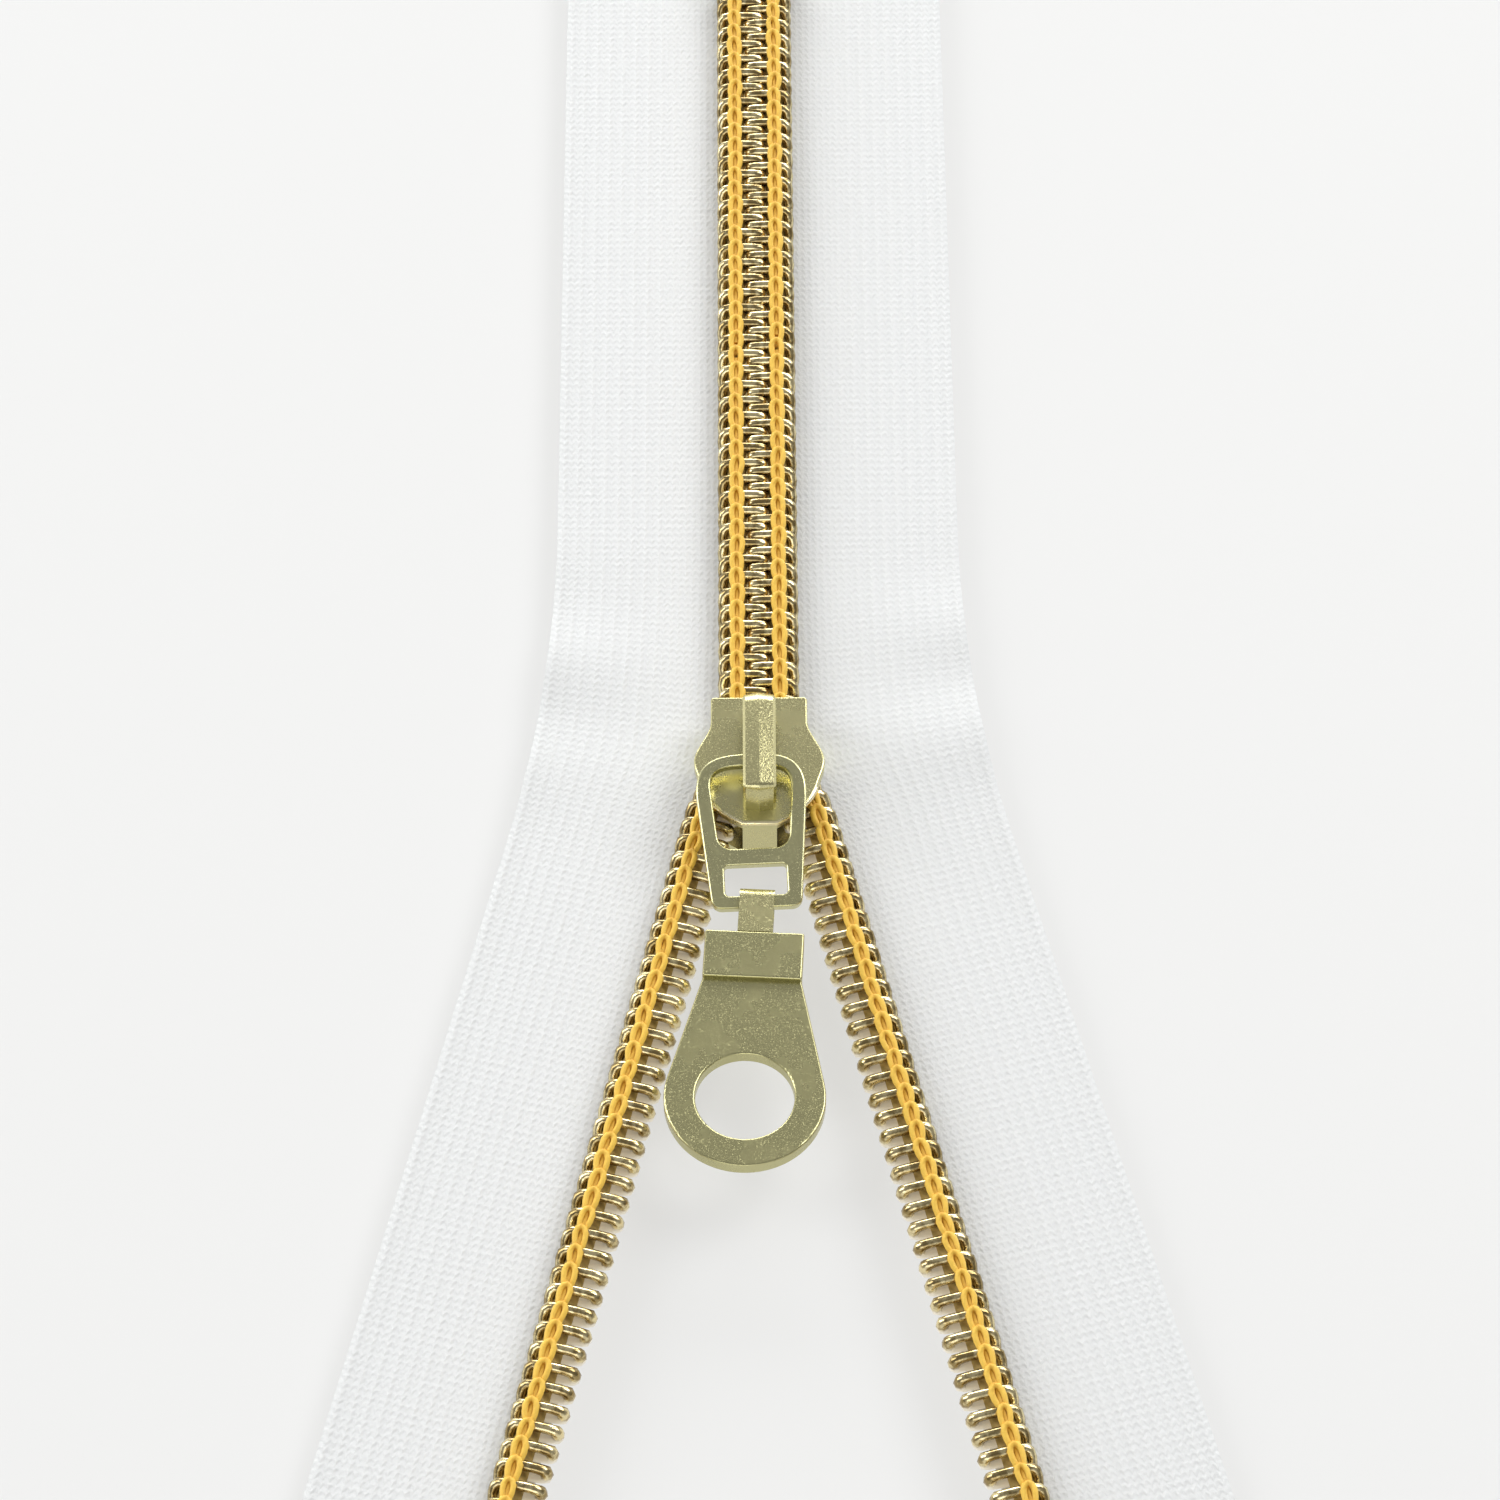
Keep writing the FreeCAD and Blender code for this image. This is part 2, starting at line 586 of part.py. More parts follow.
def bridge_cover():
    """The arched bridge over the top plate, which holds the link and covers the lock pawl."""
    body = document.addObject("PartDesign::Body", "bridge_cover")
    sketch = sketch_on(body, "YZ_Plane", "bridge_profile")
    foot = "Sizes.top_plate_base + Sizes.top_plate_thickness"
    inner_top = "Sizes.bridge_top - Sizes.bridge_thickness"
    inner_rear = "Sizes.bridge_rear - Sizes.bridge_rear_leg"
    inner_front = "Sizes.bridge_front + Sizes.bridge_leg"
    corners = [
        ("Sizes.bridge_front", foot),
        ("Sizes.bridge_front", "Sizes.bridge_top"),
        ("Sizes.bridge_rear", "Sizes.bridge_top"),
        ("Sizes.bridge_rear", foot),
        (inner_rear, foot),
        (inner_rear, inner_top),
        (inner_front, inner_top),
        (inner_front, foot),
    ]
    add_polygon(sketch, corners)
    arch = body.newObject("PartDesign::Pad", "bridge_arch")
    arch.Profile = sketch
    arch.Midplane = True
    bind(arch, Length="Sizes.bridge_width")
    document.recompute()
    crest = size("bridge_top")
    bends = arch
    for name, place in (("rear", size("bridge_rear")), ("front", size("bridge_front"))):

        def on_the_corner(middle, way):
            return abs(way.x) > 0.9 and middle.z > crest - NEAR and abs(middle.y - place) < NEAR

        bend = body.newObject("PartDesign::Fillet", f"bridge_{name}_bend")
        bend.Base = (bends, named_edges(bends.Shape, on_the_corner))
        bind(bend, Radius=f"Sizes.bridge_{name}_bend")
        document.recompute()
        bends = bend
    low = size("top_plate_base") + size("top_plate_thickness")
    inner = crest - size("bridge_thickness")
    rear = size("bridge_rear")
    front = size("bridge_front")

    def on_the_outside(middle, way):
        outside = middle.z > inner + NEAR or middle.y > rear - NEAR or middle.y < front + NEAR
        return outside and abs(way.x) < 0.1 and middle.z > low + NEAR

    bevel = body.newObject("PartDesign::Chamfer", "bridge_bevel_edges")
    bevel.Base = (bends, named_edges(bends.Shape, on_the_outside))
    bind(bevel, Size="Sizes.bridge_bevel")
    body.Tip = bevel
    return keep(body, "bridge_cover")


def lock_pawl():
    """The spring leaf under the bridge, with the pin that locks the slider to the coil."""
    body = document.addObject("PartDesign::Body", "lock_pawl")
    top = "Sizes.pawl_base + Sizes.pawl_thickness"
    pin_front = "Sizes.pin_place - Sizes.pawl_pin_size / 2"
    pin_rear = "Sizes.pin_place + Sizes.pawl_pin_size / 2"
    leaf = rectangle("Sizes.pawl_front", "Sizes.pawl_rear", "Sizes.pawl_base", top)
    pin = rectangle(pin_front, pin_rear, "Sizes.pawl_pin_tip", top)
    profiles = [("leaf", leaf, "Sizes.pawl_width"), ("pin", pin, "Sizes.pawl_pin_size")]
    for name, corners, width in profiles:
        sketch = sketch_on(body, "YZ_Plane", f"pawl_{name}_profile")
        add_polygon(sketch, corners)
        pad = body.newObject("PartDesign::Pad", f"pawl_{name}")
        pad.Profile = sketch
        pad.Midplane = True
        bind(pad, Length=width)
        body.Tip = pad
    return keep(body, "lock_pawl")


# --- The link, the strap and the pull ----------------------------------------------------------
# Each is made flat with its pivot at the origin and its length along -Y, and then placed.


def hanging_placement(pivot, slope, yaw):
    """The placement of a piece that hangs from a pivot, sloping down and leaning sideways."""
    sideways = FreeCAD.Rotation(UP, yaw)
    downwards = FreeCAD.Rotation(Vector(1, 0, 0), slope)
    return FreeCAD.Placement(pivot, sideways.multiply(downwards))


def rounded_plate(wire, openings, thickness, rounding):
    """A plate of even thickness centred on z = 0, with openings and with all its edges rounded."""
    face = Part.Face(wire)
    for opening in openings:
        face = face.cut(Part.Face(opening))
    plate = face.Faces[0].extrude(Vector(0, 0, thickness))
    plate.translate(Vector(0, 0, -thickness / 2))
    rims = [edge for edge in plate.Edges if abs(abs(edge.CenterOfMass.z) - thickness / 2) < NEAR]
    return plate.makeFillet(rounding, rims)


def rounded_outline(points, radii):
    """A closed outline of straight edges, with each corner rounded to its own radius."""
    count = len(points)
    edges = []
    starts = []
    ends = []
    for number, radius in enumerate(radii):
        corner = points[number]
        back = (points[number - 1] - corner).normalize()
        ahead = (points[(number + 1) % count] - corner).normalize()
        half_turn = back.getAngle(ahead) / 2
        reach = radius / math.tan(half_turn)
        toward_middle = (back + ahead).normalize()
        crown = corner + toward_middle * (radius / math.sin(half_turn) - radius)
        starts.append(corner + back * reach)
        ends.append(corner + ahead * reach)
        edges.append(Part.Arc(starts[-1], crown, ends[-1]).toShape())
    for number in range(count):
        following = starts[(number + 1) % count]
        if ends[number].distanceToPoint(following) > NEAR:
            edges.append(Part.makeLine(ends[number], following))
    return Part.Wire(Part.__sortEdges__(edges))


def domed_outline(top, half, shoulder, end_half, end, corner):
    """A closed outline with a domed top, straight sides drawing in, and a flat end with round corners."""
    shoulder_right = Vector(half, shoulder, 0)
    end_right = Vector(end_half, end, 0)
    side = (end_right - shoulder_right).normalize()
    half_turn = side.getAngle(Vector(-1, 0, 0)) / 2
    reach = corner * math.tan(half_turn)
    above = end_right - side * reach
    beside = Vector(end_half - reach, end, 0)
    to_middle = (Vector(-1, 0, 0) - side).normalize()
    hub = corner / math.cos(half_turn)
    crown = end_right + to_middle * (hub - corner)
    shoulder_left, above_left, crown_left, beside_left = [
        Vector(-point.x, point.y, 0) for point in (shoulder_right, above, crown, beside)
    ]
    dome = Part.BSplineCurve()
    dome.interpolate(
        Points=[shoulder_right, Vector(0, top, 0), shoulder_left],
        InitialTangent=side * -1,
        FinalTangent=Vector(-side.x, side.y, 0),
    )
    edges = [
        dome.toShape(),
        Part.makeLine(shoulder_right, above),
        Part.Arc(above, crown, beside).toShape(),
        Part.makeLine(beside, beside_left),
        Part.Arc(beside_left, crown_left, above_left).toShape(),
        Part.makeLine(above_left, shoulder_left),
    ]
    return Part.Wire(Part.__sortEdges__(edges))


def pull_link(pivot):
    """The link: a domed frame with a large window round the bridge and a slot for the strap."""
    half_bar = size("link_bar") / 2
    window_end = -half_bar - size("link_window")
    slot_top = window_end - size("link_crossbar")
    slot_end = slot_top - size("link_slot")
    end = slot_end - size("link_end_bar")
    outline = domed_outline(
        half_bar, size("link_half"), -size("link_half_place"),
        size("link_end_half"), end, size("link_corner"),
    )
    taper = (size("link_half") - size("link_end_half")) / (-size("link_half_place") - end)
    window_half = size("link_half") - size("link_side_bar")
    window_shoulder = -size("link_half_place") * WINDOW_SHOULDER
    window_end_half = window_half - taper * (window_shoulder - window_end)
    window = domed_outline(
        -half_bar, window_half, window_shoulder, window_end_half, window_end, size("link_window_corner")
    )
    slot_half = size("link_slot_half")
    slot_corners = [
        Vector(-slot_half, slot_top, 0),
        Vector(slot_half, slot_top, 0),
        Vector(slot_half, slot_end, 0),
        Vector(-slot_half, slot_end, 0),
    ]
    slot = rounded_outline(slot_corners, [size("link_slot_corner")] * len(slot_corners))
    plate = rounded_plate(outline, [window, slot], size("link_thickness"), size("link_round"))
    placement = hanging_placement(pivot, size("link_slope"), size("link_yaw"))
    shaped("pull_link", plate, placement)
    return placement.multVec(Vector(0, slot_end - size("link_end_bar") / 2, 0))


def pull_strap(placement):
    """The flat strap folded round the link's end bar, with both ends running to the pull's head."""
    inside = size("strap_inside")
    outside = inside + size("strap_thickness")
    length = size("strap_length")
    half_width = size("strap_width") / 2

    def fold(radius):
        bend = Part.makeCylinder(radius, 2 * half_width, Vector(-half_width, 0, 0), Vector(1, 0, 0))
        ends = Part.makeBox(2 * half_width, length, 2 * radius, Vector(-half_width, -length, -radius))
        return bend.fuse(ends)

    shaped("pull_strap", fold(outside).cut(fold(inside)).removeSplitter(), placement)


def pull_plate(placement):
    """The pull: a thick head that grips the strap, and a flat plate that flares into a ring."""
    top = -size("strap_length")
    seam = top - size("head_length")
    centre = Vector(0, top - size("ring_place"), 0)
    half = size("head_half")
    radius = size("ring_radius")
    corner = Vector(half, seam, 0) - centre
    reach = math.acos(radius / corner.Length)
    bearing = math.atan2(corner.y, corner.x) - reach
    touch = centre + Vector(math.cos(bearing), math.sin(bearing), 0) * radius
    touch_left = Vector(-touch.x, touch.y, 0)
    inside = size("pull_round") * 2
    edges = [
        Part.makeLine(Vector(-half, seam + inside, 0), Vector(half, seam + inside, 0)),
        Part.makeLine(Vector(half, seam + inside, 0), Vector(half, seam, 0)),
        Part.makeLine(Vector(half, seam, 0), touch),
        Part.Arc(touch, centre - Vector(0, radius, 0), touch_left).toShape(),
        Part.makeLine(touch_left, Vector(-half, seam, 0)),
        Part.makeLine(Vector(-half, seam, 0), Vector(-half, seam + inside, 0)),
    ]
    outline = Part.Wire(Part.__sortEdges__(edges))
    hole = Part.Wire(Part.makeCircle(size("ring_hole"), centre))
    ring = rounded_plate(outline, [hole], size("ring_thickness"), size("pull_round"))
    thickness = size("head_thickness")
    head = Part.makeBox(2 * half, size("head_length"), thickness, Vector(-half, seam, -thickness / 2))
    head = head.makeFillet(size("pull_round"), head.Edges)
    shaped("pull_plate", head.fuse(ring).removeSplitter(), placement)


# --- The whole zipper --------------------------------------------------------------------------


def closed_end_and_runs():
    """The straight lengths of both sides: the short closed end and the long run below it."""
    run_start = "Sizes.run_start + Sizes.part_gap"
    run_finish = "Sizes.end_hinge - Sizes.part_gap"
    end_start = "Sizes.end_hinge + Sizes.part_gap"
    for side_name in SIDES:
        offset = "0.5 * Sizes.coil_pitch" if side_name == "left" else "0"
        run_loops = int((size("end_hinge") - size("run_start")) / size("coil_pitch")) - 1
        loop_start = f"{run_start} + {offset}"
        strip = f"{run_loops} * Sizes.coil_pitch"
        straight_length(
            side_name, "run", run_start, run_finish, loop_start, run_loops, strip, run_finish
        )
        end_loops = 2
        end_offset = f"{end_start} + {offset}"
        end_strip = f"{end_loops - 1} * Sizes.coil_pitch + Sizes.loop_thickness"
        straight_length(
            side_name, "closed_end", end_start, "Sizes.tape_closed_end", end_offset,
            end_loops, end_strip, "Sizes.end_chain",
        )


def check_and_export():
    """Check every object of the document, and write each sub-part's solid to its own file."""
    document.recompute()
    for feature in document.Objects:
        if {"Invalid", "Error"} & set(feature.State):
            raise RuntimeError(f"{feature.Name} failed: {feature.State}")
    os.makedirs("parts", exist_ok=True)
    for part in parts:
        if part.Shape.isNull() or not part.Shape.isValid():
            raise RuntimeError(f"{part.Label} has no valid shape")
        part.Shape.exportStep(f"parts/{part.Label}.step")
        box = part.Shape.BoundBox
        print(f"{part.Label:24} solids {len(part.Shape.Solids)}  volume {part.Shape.Volume:9.3f}  "
              f"x {box.XMin:7.2f} {box.XMax:7.2f}  y {box.YMin:7.2f} {box.YMax:7.2f}  "
              f"z {box.ZMin:6.2f} {box.ZMax:6.2f}")


closed_end_and_runs()
for leg_side in SIDES:
    top_stop(leg_side, leg(leg_side))
bottom_stop()
slider_body()
bridge_cover()
lock_pawl()
link_pivot = Vector(size("link_pivot_across"), size("link_pivot_along"), size("link_pivot_height"))
pull_pivot = pull_link(link_pivot)
pull_placement = hanging_placement(pull_pivot, size("pull_slope"), size("pull_yaw"))
pull_strap(pull_placement)
pull_plate(pull_placement)
print("pull pivot", [round(value, 4) for value in pull_pivot])
check_and_export()
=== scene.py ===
"""The looks of a nylon coil zipper: tapes, coils and stitches made round its packed metal parts.

Frame, in metres: +Y towards the closed end, +X to the right and +Z up; the origin is the middle of
the slider's underside.  Sizes below are in millimetres and are turned to metres where they are used.
"""

import logging
import math
from dataclasses import dataclass
from enum import Enum
from typing import Any

import bmesh
import bpy
import numpy as np
from mathutils import Matrix, Vector

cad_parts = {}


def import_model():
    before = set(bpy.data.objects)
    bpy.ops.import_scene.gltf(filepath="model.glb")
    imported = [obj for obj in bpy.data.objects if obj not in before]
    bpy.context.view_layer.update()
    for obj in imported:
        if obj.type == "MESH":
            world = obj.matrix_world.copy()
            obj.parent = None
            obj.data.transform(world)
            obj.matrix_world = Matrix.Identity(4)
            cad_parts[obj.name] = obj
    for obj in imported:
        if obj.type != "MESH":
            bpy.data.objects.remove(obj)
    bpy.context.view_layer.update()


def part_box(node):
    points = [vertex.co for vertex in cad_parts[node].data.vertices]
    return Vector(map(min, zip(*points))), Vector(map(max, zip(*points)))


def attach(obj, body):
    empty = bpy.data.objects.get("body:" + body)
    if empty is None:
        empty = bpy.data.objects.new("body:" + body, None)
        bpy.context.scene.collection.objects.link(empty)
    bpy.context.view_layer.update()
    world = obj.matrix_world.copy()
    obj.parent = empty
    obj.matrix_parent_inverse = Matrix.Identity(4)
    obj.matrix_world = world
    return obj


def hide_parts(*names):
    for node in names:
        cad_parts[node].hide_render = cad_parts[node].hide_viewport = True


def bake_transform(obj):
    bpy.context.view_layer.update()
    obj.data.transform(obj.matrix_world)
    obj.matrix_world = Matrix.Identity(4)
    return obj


MM = 0.001
TURN = 2.0 * math.pi
UP = (0.0, 0.0, 1.0)
LOG = logging.getLogger("zipper")

Colour = tuple[float, float, float, float]


class Side(Enum):
    """The two rows of the zipper; the value is the sign of the row's X."""

    LEFT = -1
    RIGHT = 1

    @property
    def word(self) -> str:
        """The side's name as the parts spell it."""
        return self.name.lower()


class Stretch(Enum):
    """The two lengths that each row is made in, either side of its middle."""

    UPPER = "upper"
    LOWER = "lower"


def placed_object(name: str, data: bpy.types.ID) -> bpy.types.Object:
    """A new object in the scene, at the origin."""
    made = bpy.data.objects.new(name, data)
    bpy.context.scene.collection.objects.link(made)
    return made


def report(piece: bpy.types.Object) -> None:
    """Log a finished piece."""
    LOG.info("%s: %d faces", piece.name, len(piece.data.polygons))


# --- Node trees ---


class Wire:
    """A node's output that Python arithmetic works on; each operator adds its Math node."""

    def __init__(self, tree: "Tree", socket: bpy.types.NodeSocket) -> None:
        """Wrap a socket of a tree."""
        self.tree = tree
        self.socket = socket

    def __add__(self, other: "Wire | float") -> "Wire":
        """Sum."""
        return self.tree.maths("ADD", self, other)

    __radd__ = __add__

    def __sub__(self, other: "Wire | float") -> "Wire":
        """Difference."""
        return self.tree.maths("SUBTRACT", self, other)

    def __rsub__(self, other: float) -> "Wire":
        """Difference from a number."""
        return self.tree.maths("SUBTRACT", other, self)

    def __mul__(self, other: "Wire | float") -> "Wire":
        """Product."""
        return self.tree.maths("MULTIPLY", self, other)

    __rmul__ = __mul__

    def __truediv__(self, other: "Wire | float") -> "Wire":
        """Quotient."""
        return self.tree.maths("DIVIDE", self, other)

    def __pow__(self, other: "Wire | float") -> "Wire":
        """Power."""
        return self.tree.maths("POWER", self, other)

    def __neg__(self) -> "Wire":
        """The opposite number."""
        return self.tree.maths("MULTIPLY", self, -1.0)

    def __abs__(self) -> "Wire":
        """Size without sign."""
        return self.tree.maths("ABSOLUTE", self)


class Tree:
    """A shader or geometry node tree with short ways to add to it."""

    def __init__(self, nodes: bpy.types.NodeTree) -> None:
        """Work on a node tree."""
        self.tree = nodes

    def node(self, kind: str, settings: dict[str, Any] | None = None,
             sockets: dict[int | str, Any] | None = None) -> bpy.types.Node:
        """Add a node.

        Args:
            kind: the node's type.
            settings: its properties, set first.
            sockets: values or links of its inputs, by name or number.

        Returns:
            The new node.
        """
        made = self.tree.nodes.new(kind)
        for name, value in (settings or {}).items():
            setattr(made, name, value)
        for key, value in (sockets or {}).items():
            self.feed(made.inputs[key], value)
        return made

    def feed(self, target: bpy.types.NodeSocket, value: Any) -> None:
        """Link or set one input.

        Args:
            target: the input socket.
            value: a Wire, a socket, or a plain value.
        """
        if isinstance(value, Wire):
            value = value.socket
        if isinstance(value, bpy.types.NodeSocket):
            self.tree.links.new(value, target)
        else:
            target.default_value = value

    def wire(self, node: bpy.types.Node, output: int | str = 0) -> Wire:
        """One output of a node as a Wire."""
        return Wire(self, node.outputs[output])

    def maths(self, operation: str, *values: "Wire | float") -> Wire:
        """The result of a Math node.

        Args:
            operation: the node's operation.
            values: its inputs, in order.

        Returns:
            Its output.
        """
        made = self.node("ShaderNodeMath", {"operation": operation}, dict(enumerate(values)))
        return self.wire(made)

    def vector(self, operation: str, sockets: dict[int | str, Any]) -> bpy.types.NodeSocket:
        """The result of a Vector Math node."""
        return self.node("ShaderNodeVectorMath", {"operation": operation}, sockets).outputs[0]

    def attribute(self, name: str) -> Wire:
        """A number stored on the mesh, read by a shader."""
        return self.wire(self.node("ShaderNodeAttribute", {"attribute_name": name}), "Fac")

    def parts(self, place: bpy.types.NodeSocket) -> tuple[Wire, Wire, Wire]:
        """A vector's three numbers."""
        split = self.node("ShaderNodeSeparateXYZ", None, {0: place})
        return self.wire(split, 0), self.wire(split, 1), self.wire(split, 2)

    def smooth(self, value: Wire, low: float, high: float) -> Wire:
        """A smooth step from 0 at low to 1 at high."""
        settings = {"interpolation_type": "SMOOTHSTEP"}
        made = self.node("ShaderNodeMapRange", settings, {0: value, 1: low, 2: high, 3: 0.0, 4: 1.0})
        return self.wire(made)

    def noise(self, place: Any, scale: float, detail: float = 2.0, roughness: float = 0.5) -> Wire:
        """A fractal noise about 0.5.

        Args:
            place: the coordinates to read.
            scale: cells for each unit of the coordinates.
            detail: the number of octaves.
            roughness: how much the finer octaves count.

        Returns:
            The noise's value.
        """
        sockets = {"Vector": place, "Scale": scale, "Detail": detail, "Roughness": roughness}
        return self.wire(self.node("ShaderNodeTexNoise", None, sockets), 0)

    def mixed(self, share: "Wire | float", first: Any, second: Any) -> bpy.types.NodeSocket:
        """A colour between two colours."""
        made = self.node("ShaderNodeMix", {"data_type": "RGBA"}, {0: share, 6: first, 7: second})
        return made.outputs[2]


def coordinates(tree: Tree, name: str = "Object") -> bpy.types.NodeSocket:
    """One output of a Texture Coordinate node."""
    return tree.node("ShaderNodeTexCoord").outputs[name]


# --- Finishes ---


@dataclass(frozen=True)
class Finish:
    """What every finish has: a name, and a Principled shader that its own nodes feed."""

    CONSTANTS = {}

    name: str

    def paint(self, tree: Tree, shader: bpy.types.Node) -> None:
        """Add the nodes of whatever varies over the surface."""

    def material(self) -> bpy.types.Material:
        """Make the material.

        Returns:
            A material with one Principled shader.
        """
        material = bpy.data.materials.new(self.name)
        material.use_nodes = True
        material.node_tree.nodes.clear()
        tree = Tree(material.node_tree)
        shader = tree.node("ShaderNodeBsdfPrincipled", None, self.CONSTANTS)
        tree.node("ShaderNodeOutputMaterial", None, {"Surface": shader.outputs[0]})
        self.paint(tree, shader)
        return material

    @staticmethod
    def relief(tree: Tree, shader: bpy.types.Node, height: Wire, strength: float, depth: float) -> None:
        """Feed a height to the shader's Normal through a Bump node.

        Args:
            tree: the material's tree.
            shader: its Principled shader.
            height: the height, about 0 to 1.
            strength: the bump's strength.
            depth: what a height of 1 is, in millimetres.
        """
        sockets = {"Height": height, "Strength": strength, "Distance": depth * MM}
        bump = tree.node("ShaderNodeBump", None, sockets)
        tree.feed(shader.inputs["Normal"], bump.outputs[0])


@dataclass(frozen=True)
class PlatedMetal(Finish):
    """Pale gold plating over cast or pressed zinc, a little pitted and softly brushed."""

    CONSTANTS = {"Metallic": 1.0, "Specular IOR Level": 0.5}

    pale: Colour = (0.73, 0.68, 0.37, 1.0)
    deep: Colour = (0.57, 0.535, 0.265, 1.0)
    roughness: float = 0.27
    pitting: float = 0.30
    grain: float = 0.16

    def paint(self, tree: Tree, shader: bpy.types.Node) -> None:
        """Cloud and speckle the metal."""
        place = coordinates(tree)
        clouds = tree.noise(place, 0.35 / MM, 3.0, 0.55)
        speckle = tree.noise(place, 1.0 / (self.grain * MM), 2.0, 0.7)
        pits = tree.smooth(speckle, 0.56, 0.72)
        glints = tree.smooth(tree.noise(place, 1.6 / (self.grain * MM), 1.0, 0.5), 0.60, 0.70)
        share = clouds * 0.55 + pits * 0.40 - glints * 0.6
        tree.feed(shader.inputs["Base Color"], tree.mixed(share, self.pale, self.deep))
        rough = clouds * 0.10 + pits * 0.12 + glints * 0.22 + (self.roughness - 0.05)
        tree.feed(shader.inputs["Roughness"], rough)
        self.relief(tree, shader, speckle, self.pitting, 0.02)


@dataclass(frozen=True)
class CoilNylon(Finish):
    """Metallised nylon filament: brown gold above; on an open leg's lower half a painted pale colour and a
    painted glow stand for light coming through it.
    """

    CONSTANTS = {"Coat Weight": 0.2, "Coat Roughness": 0.15, "Emission Strength": 1.0}

    bright: Colour = (0.82, 0.70, 0.40, 1.0)
    brown: Colour = (0.33, 0.24, 0.095, 1.0)
    # Painted light: the next two colours paint the open legs' lower half pale and faintly glowing, for light
    # coming through the filament.
    silver: Colour = (0.76, 0.71, 0.60, 1.0)
    lit: Colour = (0.21, 0.19, 0.15, 1.0)
    unlit: Colour = (0.0, 0.0, 0.0, 1.0)
    open_from: float = -7.0
    closed_from: float = -1.0
    low_below: float = 2.45
    high_above: float = 2.95

    def paint(self, tree: Tree, shader: bpy.types.Node) -> None:
        """Streak the gold, and where the rows are apart paint the lower half pale and glowing, for light
        coming through the filament.
        """
        place = coordinates(tree)
        streak = tree.noise(place, 1.1 / MM, 3.0, 0.6)
        _, ahead, above = tree.parts(place)
        apart = 1.0 - tree.smooth(ahead, self.open_from * MM, self.closed_from * MM)
        low = 1.0 - tree.smooth(above, self.low_below * MM, self.high_above * MM)
        # under masks the painted pale colour and painted glow: the inner lower half of the loops, on the open
        # legs only.
        under = low * apart * tree.smooth(tree.attribute("inner"), 0.15, 0.4)
        gold = tree.mixed(tree.smooth(streak, 0.40, 0.62), self.brown, self.bright)
        tree.feed(shader.inputs["Base Color"], tree.mixed(under, gold, self.silver))
        tree.feed(shader.inputs["Emission Color"], tree.mixed(under, self.unlit, self.lit))
        tree.feed(shader.inputs["Metallic"], 0.92 - under * 0.80)
        tree.feed(shader.inputs["Roughness"], under * 0.22 + streak * 0.12 + 0.14)
        self.relief(tree, shader, tree.noise(place, 5.0 / MM, 1.0), 0.15, 0.02)


@dataclass(frozen=True)
class StitchThread(Finish):
    """Golden yellow sewing thread, with painted shade in deep orange where the loops cross and shade each
    other.
    """

    CONSTANTS = {"Roughness": 0.6, "Sheen Weight": 0.05}

    yellow: Colour = (0.92, 0.59, 0.085, 1.0)
    amber: Colour = (0.58, 0.29, 0.012, 1.0)

    def paint(self, tree: Tree, shader: bpy.types.Node) -> None:
        """Twist the strands and paint shade into the gaps between them."""
        place = coordinates(tree)
        depth = tree.attribute("depth")
        fuzz = tree.noise(place, 3.5 / MM, 3.0, 0.6)
        # Painted shade: the deep places between the strands, and the core thread, take the shade colour; the
        # fuzz adds random tone.
        share = depth * 0.95 + fuzz * 0.75 - 0.36
        tree.feed(shader.inputs["Base Color"], tree.mixed(share, self.yellow, self.amber))
        stretched = tree.node("ShaderNodeMapping", None, {"Vector": place, "Rotation": (0.0, 0.0, 0.6)})
        stretched.inputs["Scale"].default_value = (4.0 / MM, 1.2 / MM, 2.0 / MM)
        strands = tree.noise(stretched.outputs[0], 1.0, 2.0)
        self.relief(tree, shader, strands, 0.5, 0.08)


@dataclass(frozen=True)
class TapeWeave(Finish):
    """White knitted polyester tape with ribs along its outer part."""

    CONSTANTS = {"Roughness": 0.85, "Sheen Weight": 0.15, "Specular IOR Level": 0.25}

    white: Colour = (0.775, 0.785, 0.78, 1.0)
    shade: Colour = (0.675, 0.685, 0.685, 1.0)
    stitch_wide: float = 0.52
    stitch_long: float = 0.62
    rib: float = 1.05
    plain_to: float = 5.0
    ribbed_from: float = 8.5

    def paint(self, tree: Tree, shader: bpy.types.Node) -> None:
        """Knit the tape; its UV map is in millimetres across and along."""
        across, along, _ = tree.parts(coordinates(tree, "UV"))
        lean = abs(tree.maths("SINE", across * (math.pi / self.stitch_wide)))
        wale = tree.maths("COSINE", (along + lean * 0.28) * (TURN / self.stitch_long))
        column = tree.maths("COSINE", across * (TURN / self.stitch_wide))
        ribs = tree.maths("COSINE", across * (TURN / self.rib))
        outer = tree.smooth(across, self.plain_to, self.ribbed_from)
        uneven = tree.noise(coordinates(tree, "UV"), 2.4, 3.0, 0.6)
        height = wale * 0.17 + column * 0.14 + ribs * outer * 0.28 + uneven * 1.2
        # The knit's low places take the shade colour: painted shade in its hollows, mixed with random
        # unevenness of tone.
        share = 0.70 - height * 0.34
        tree.feed(shader.inputs["Base Color"], tree.mixed(share, self.white, self.shade))
        self.relief(tree, shader, height, 0.42, 0.12)


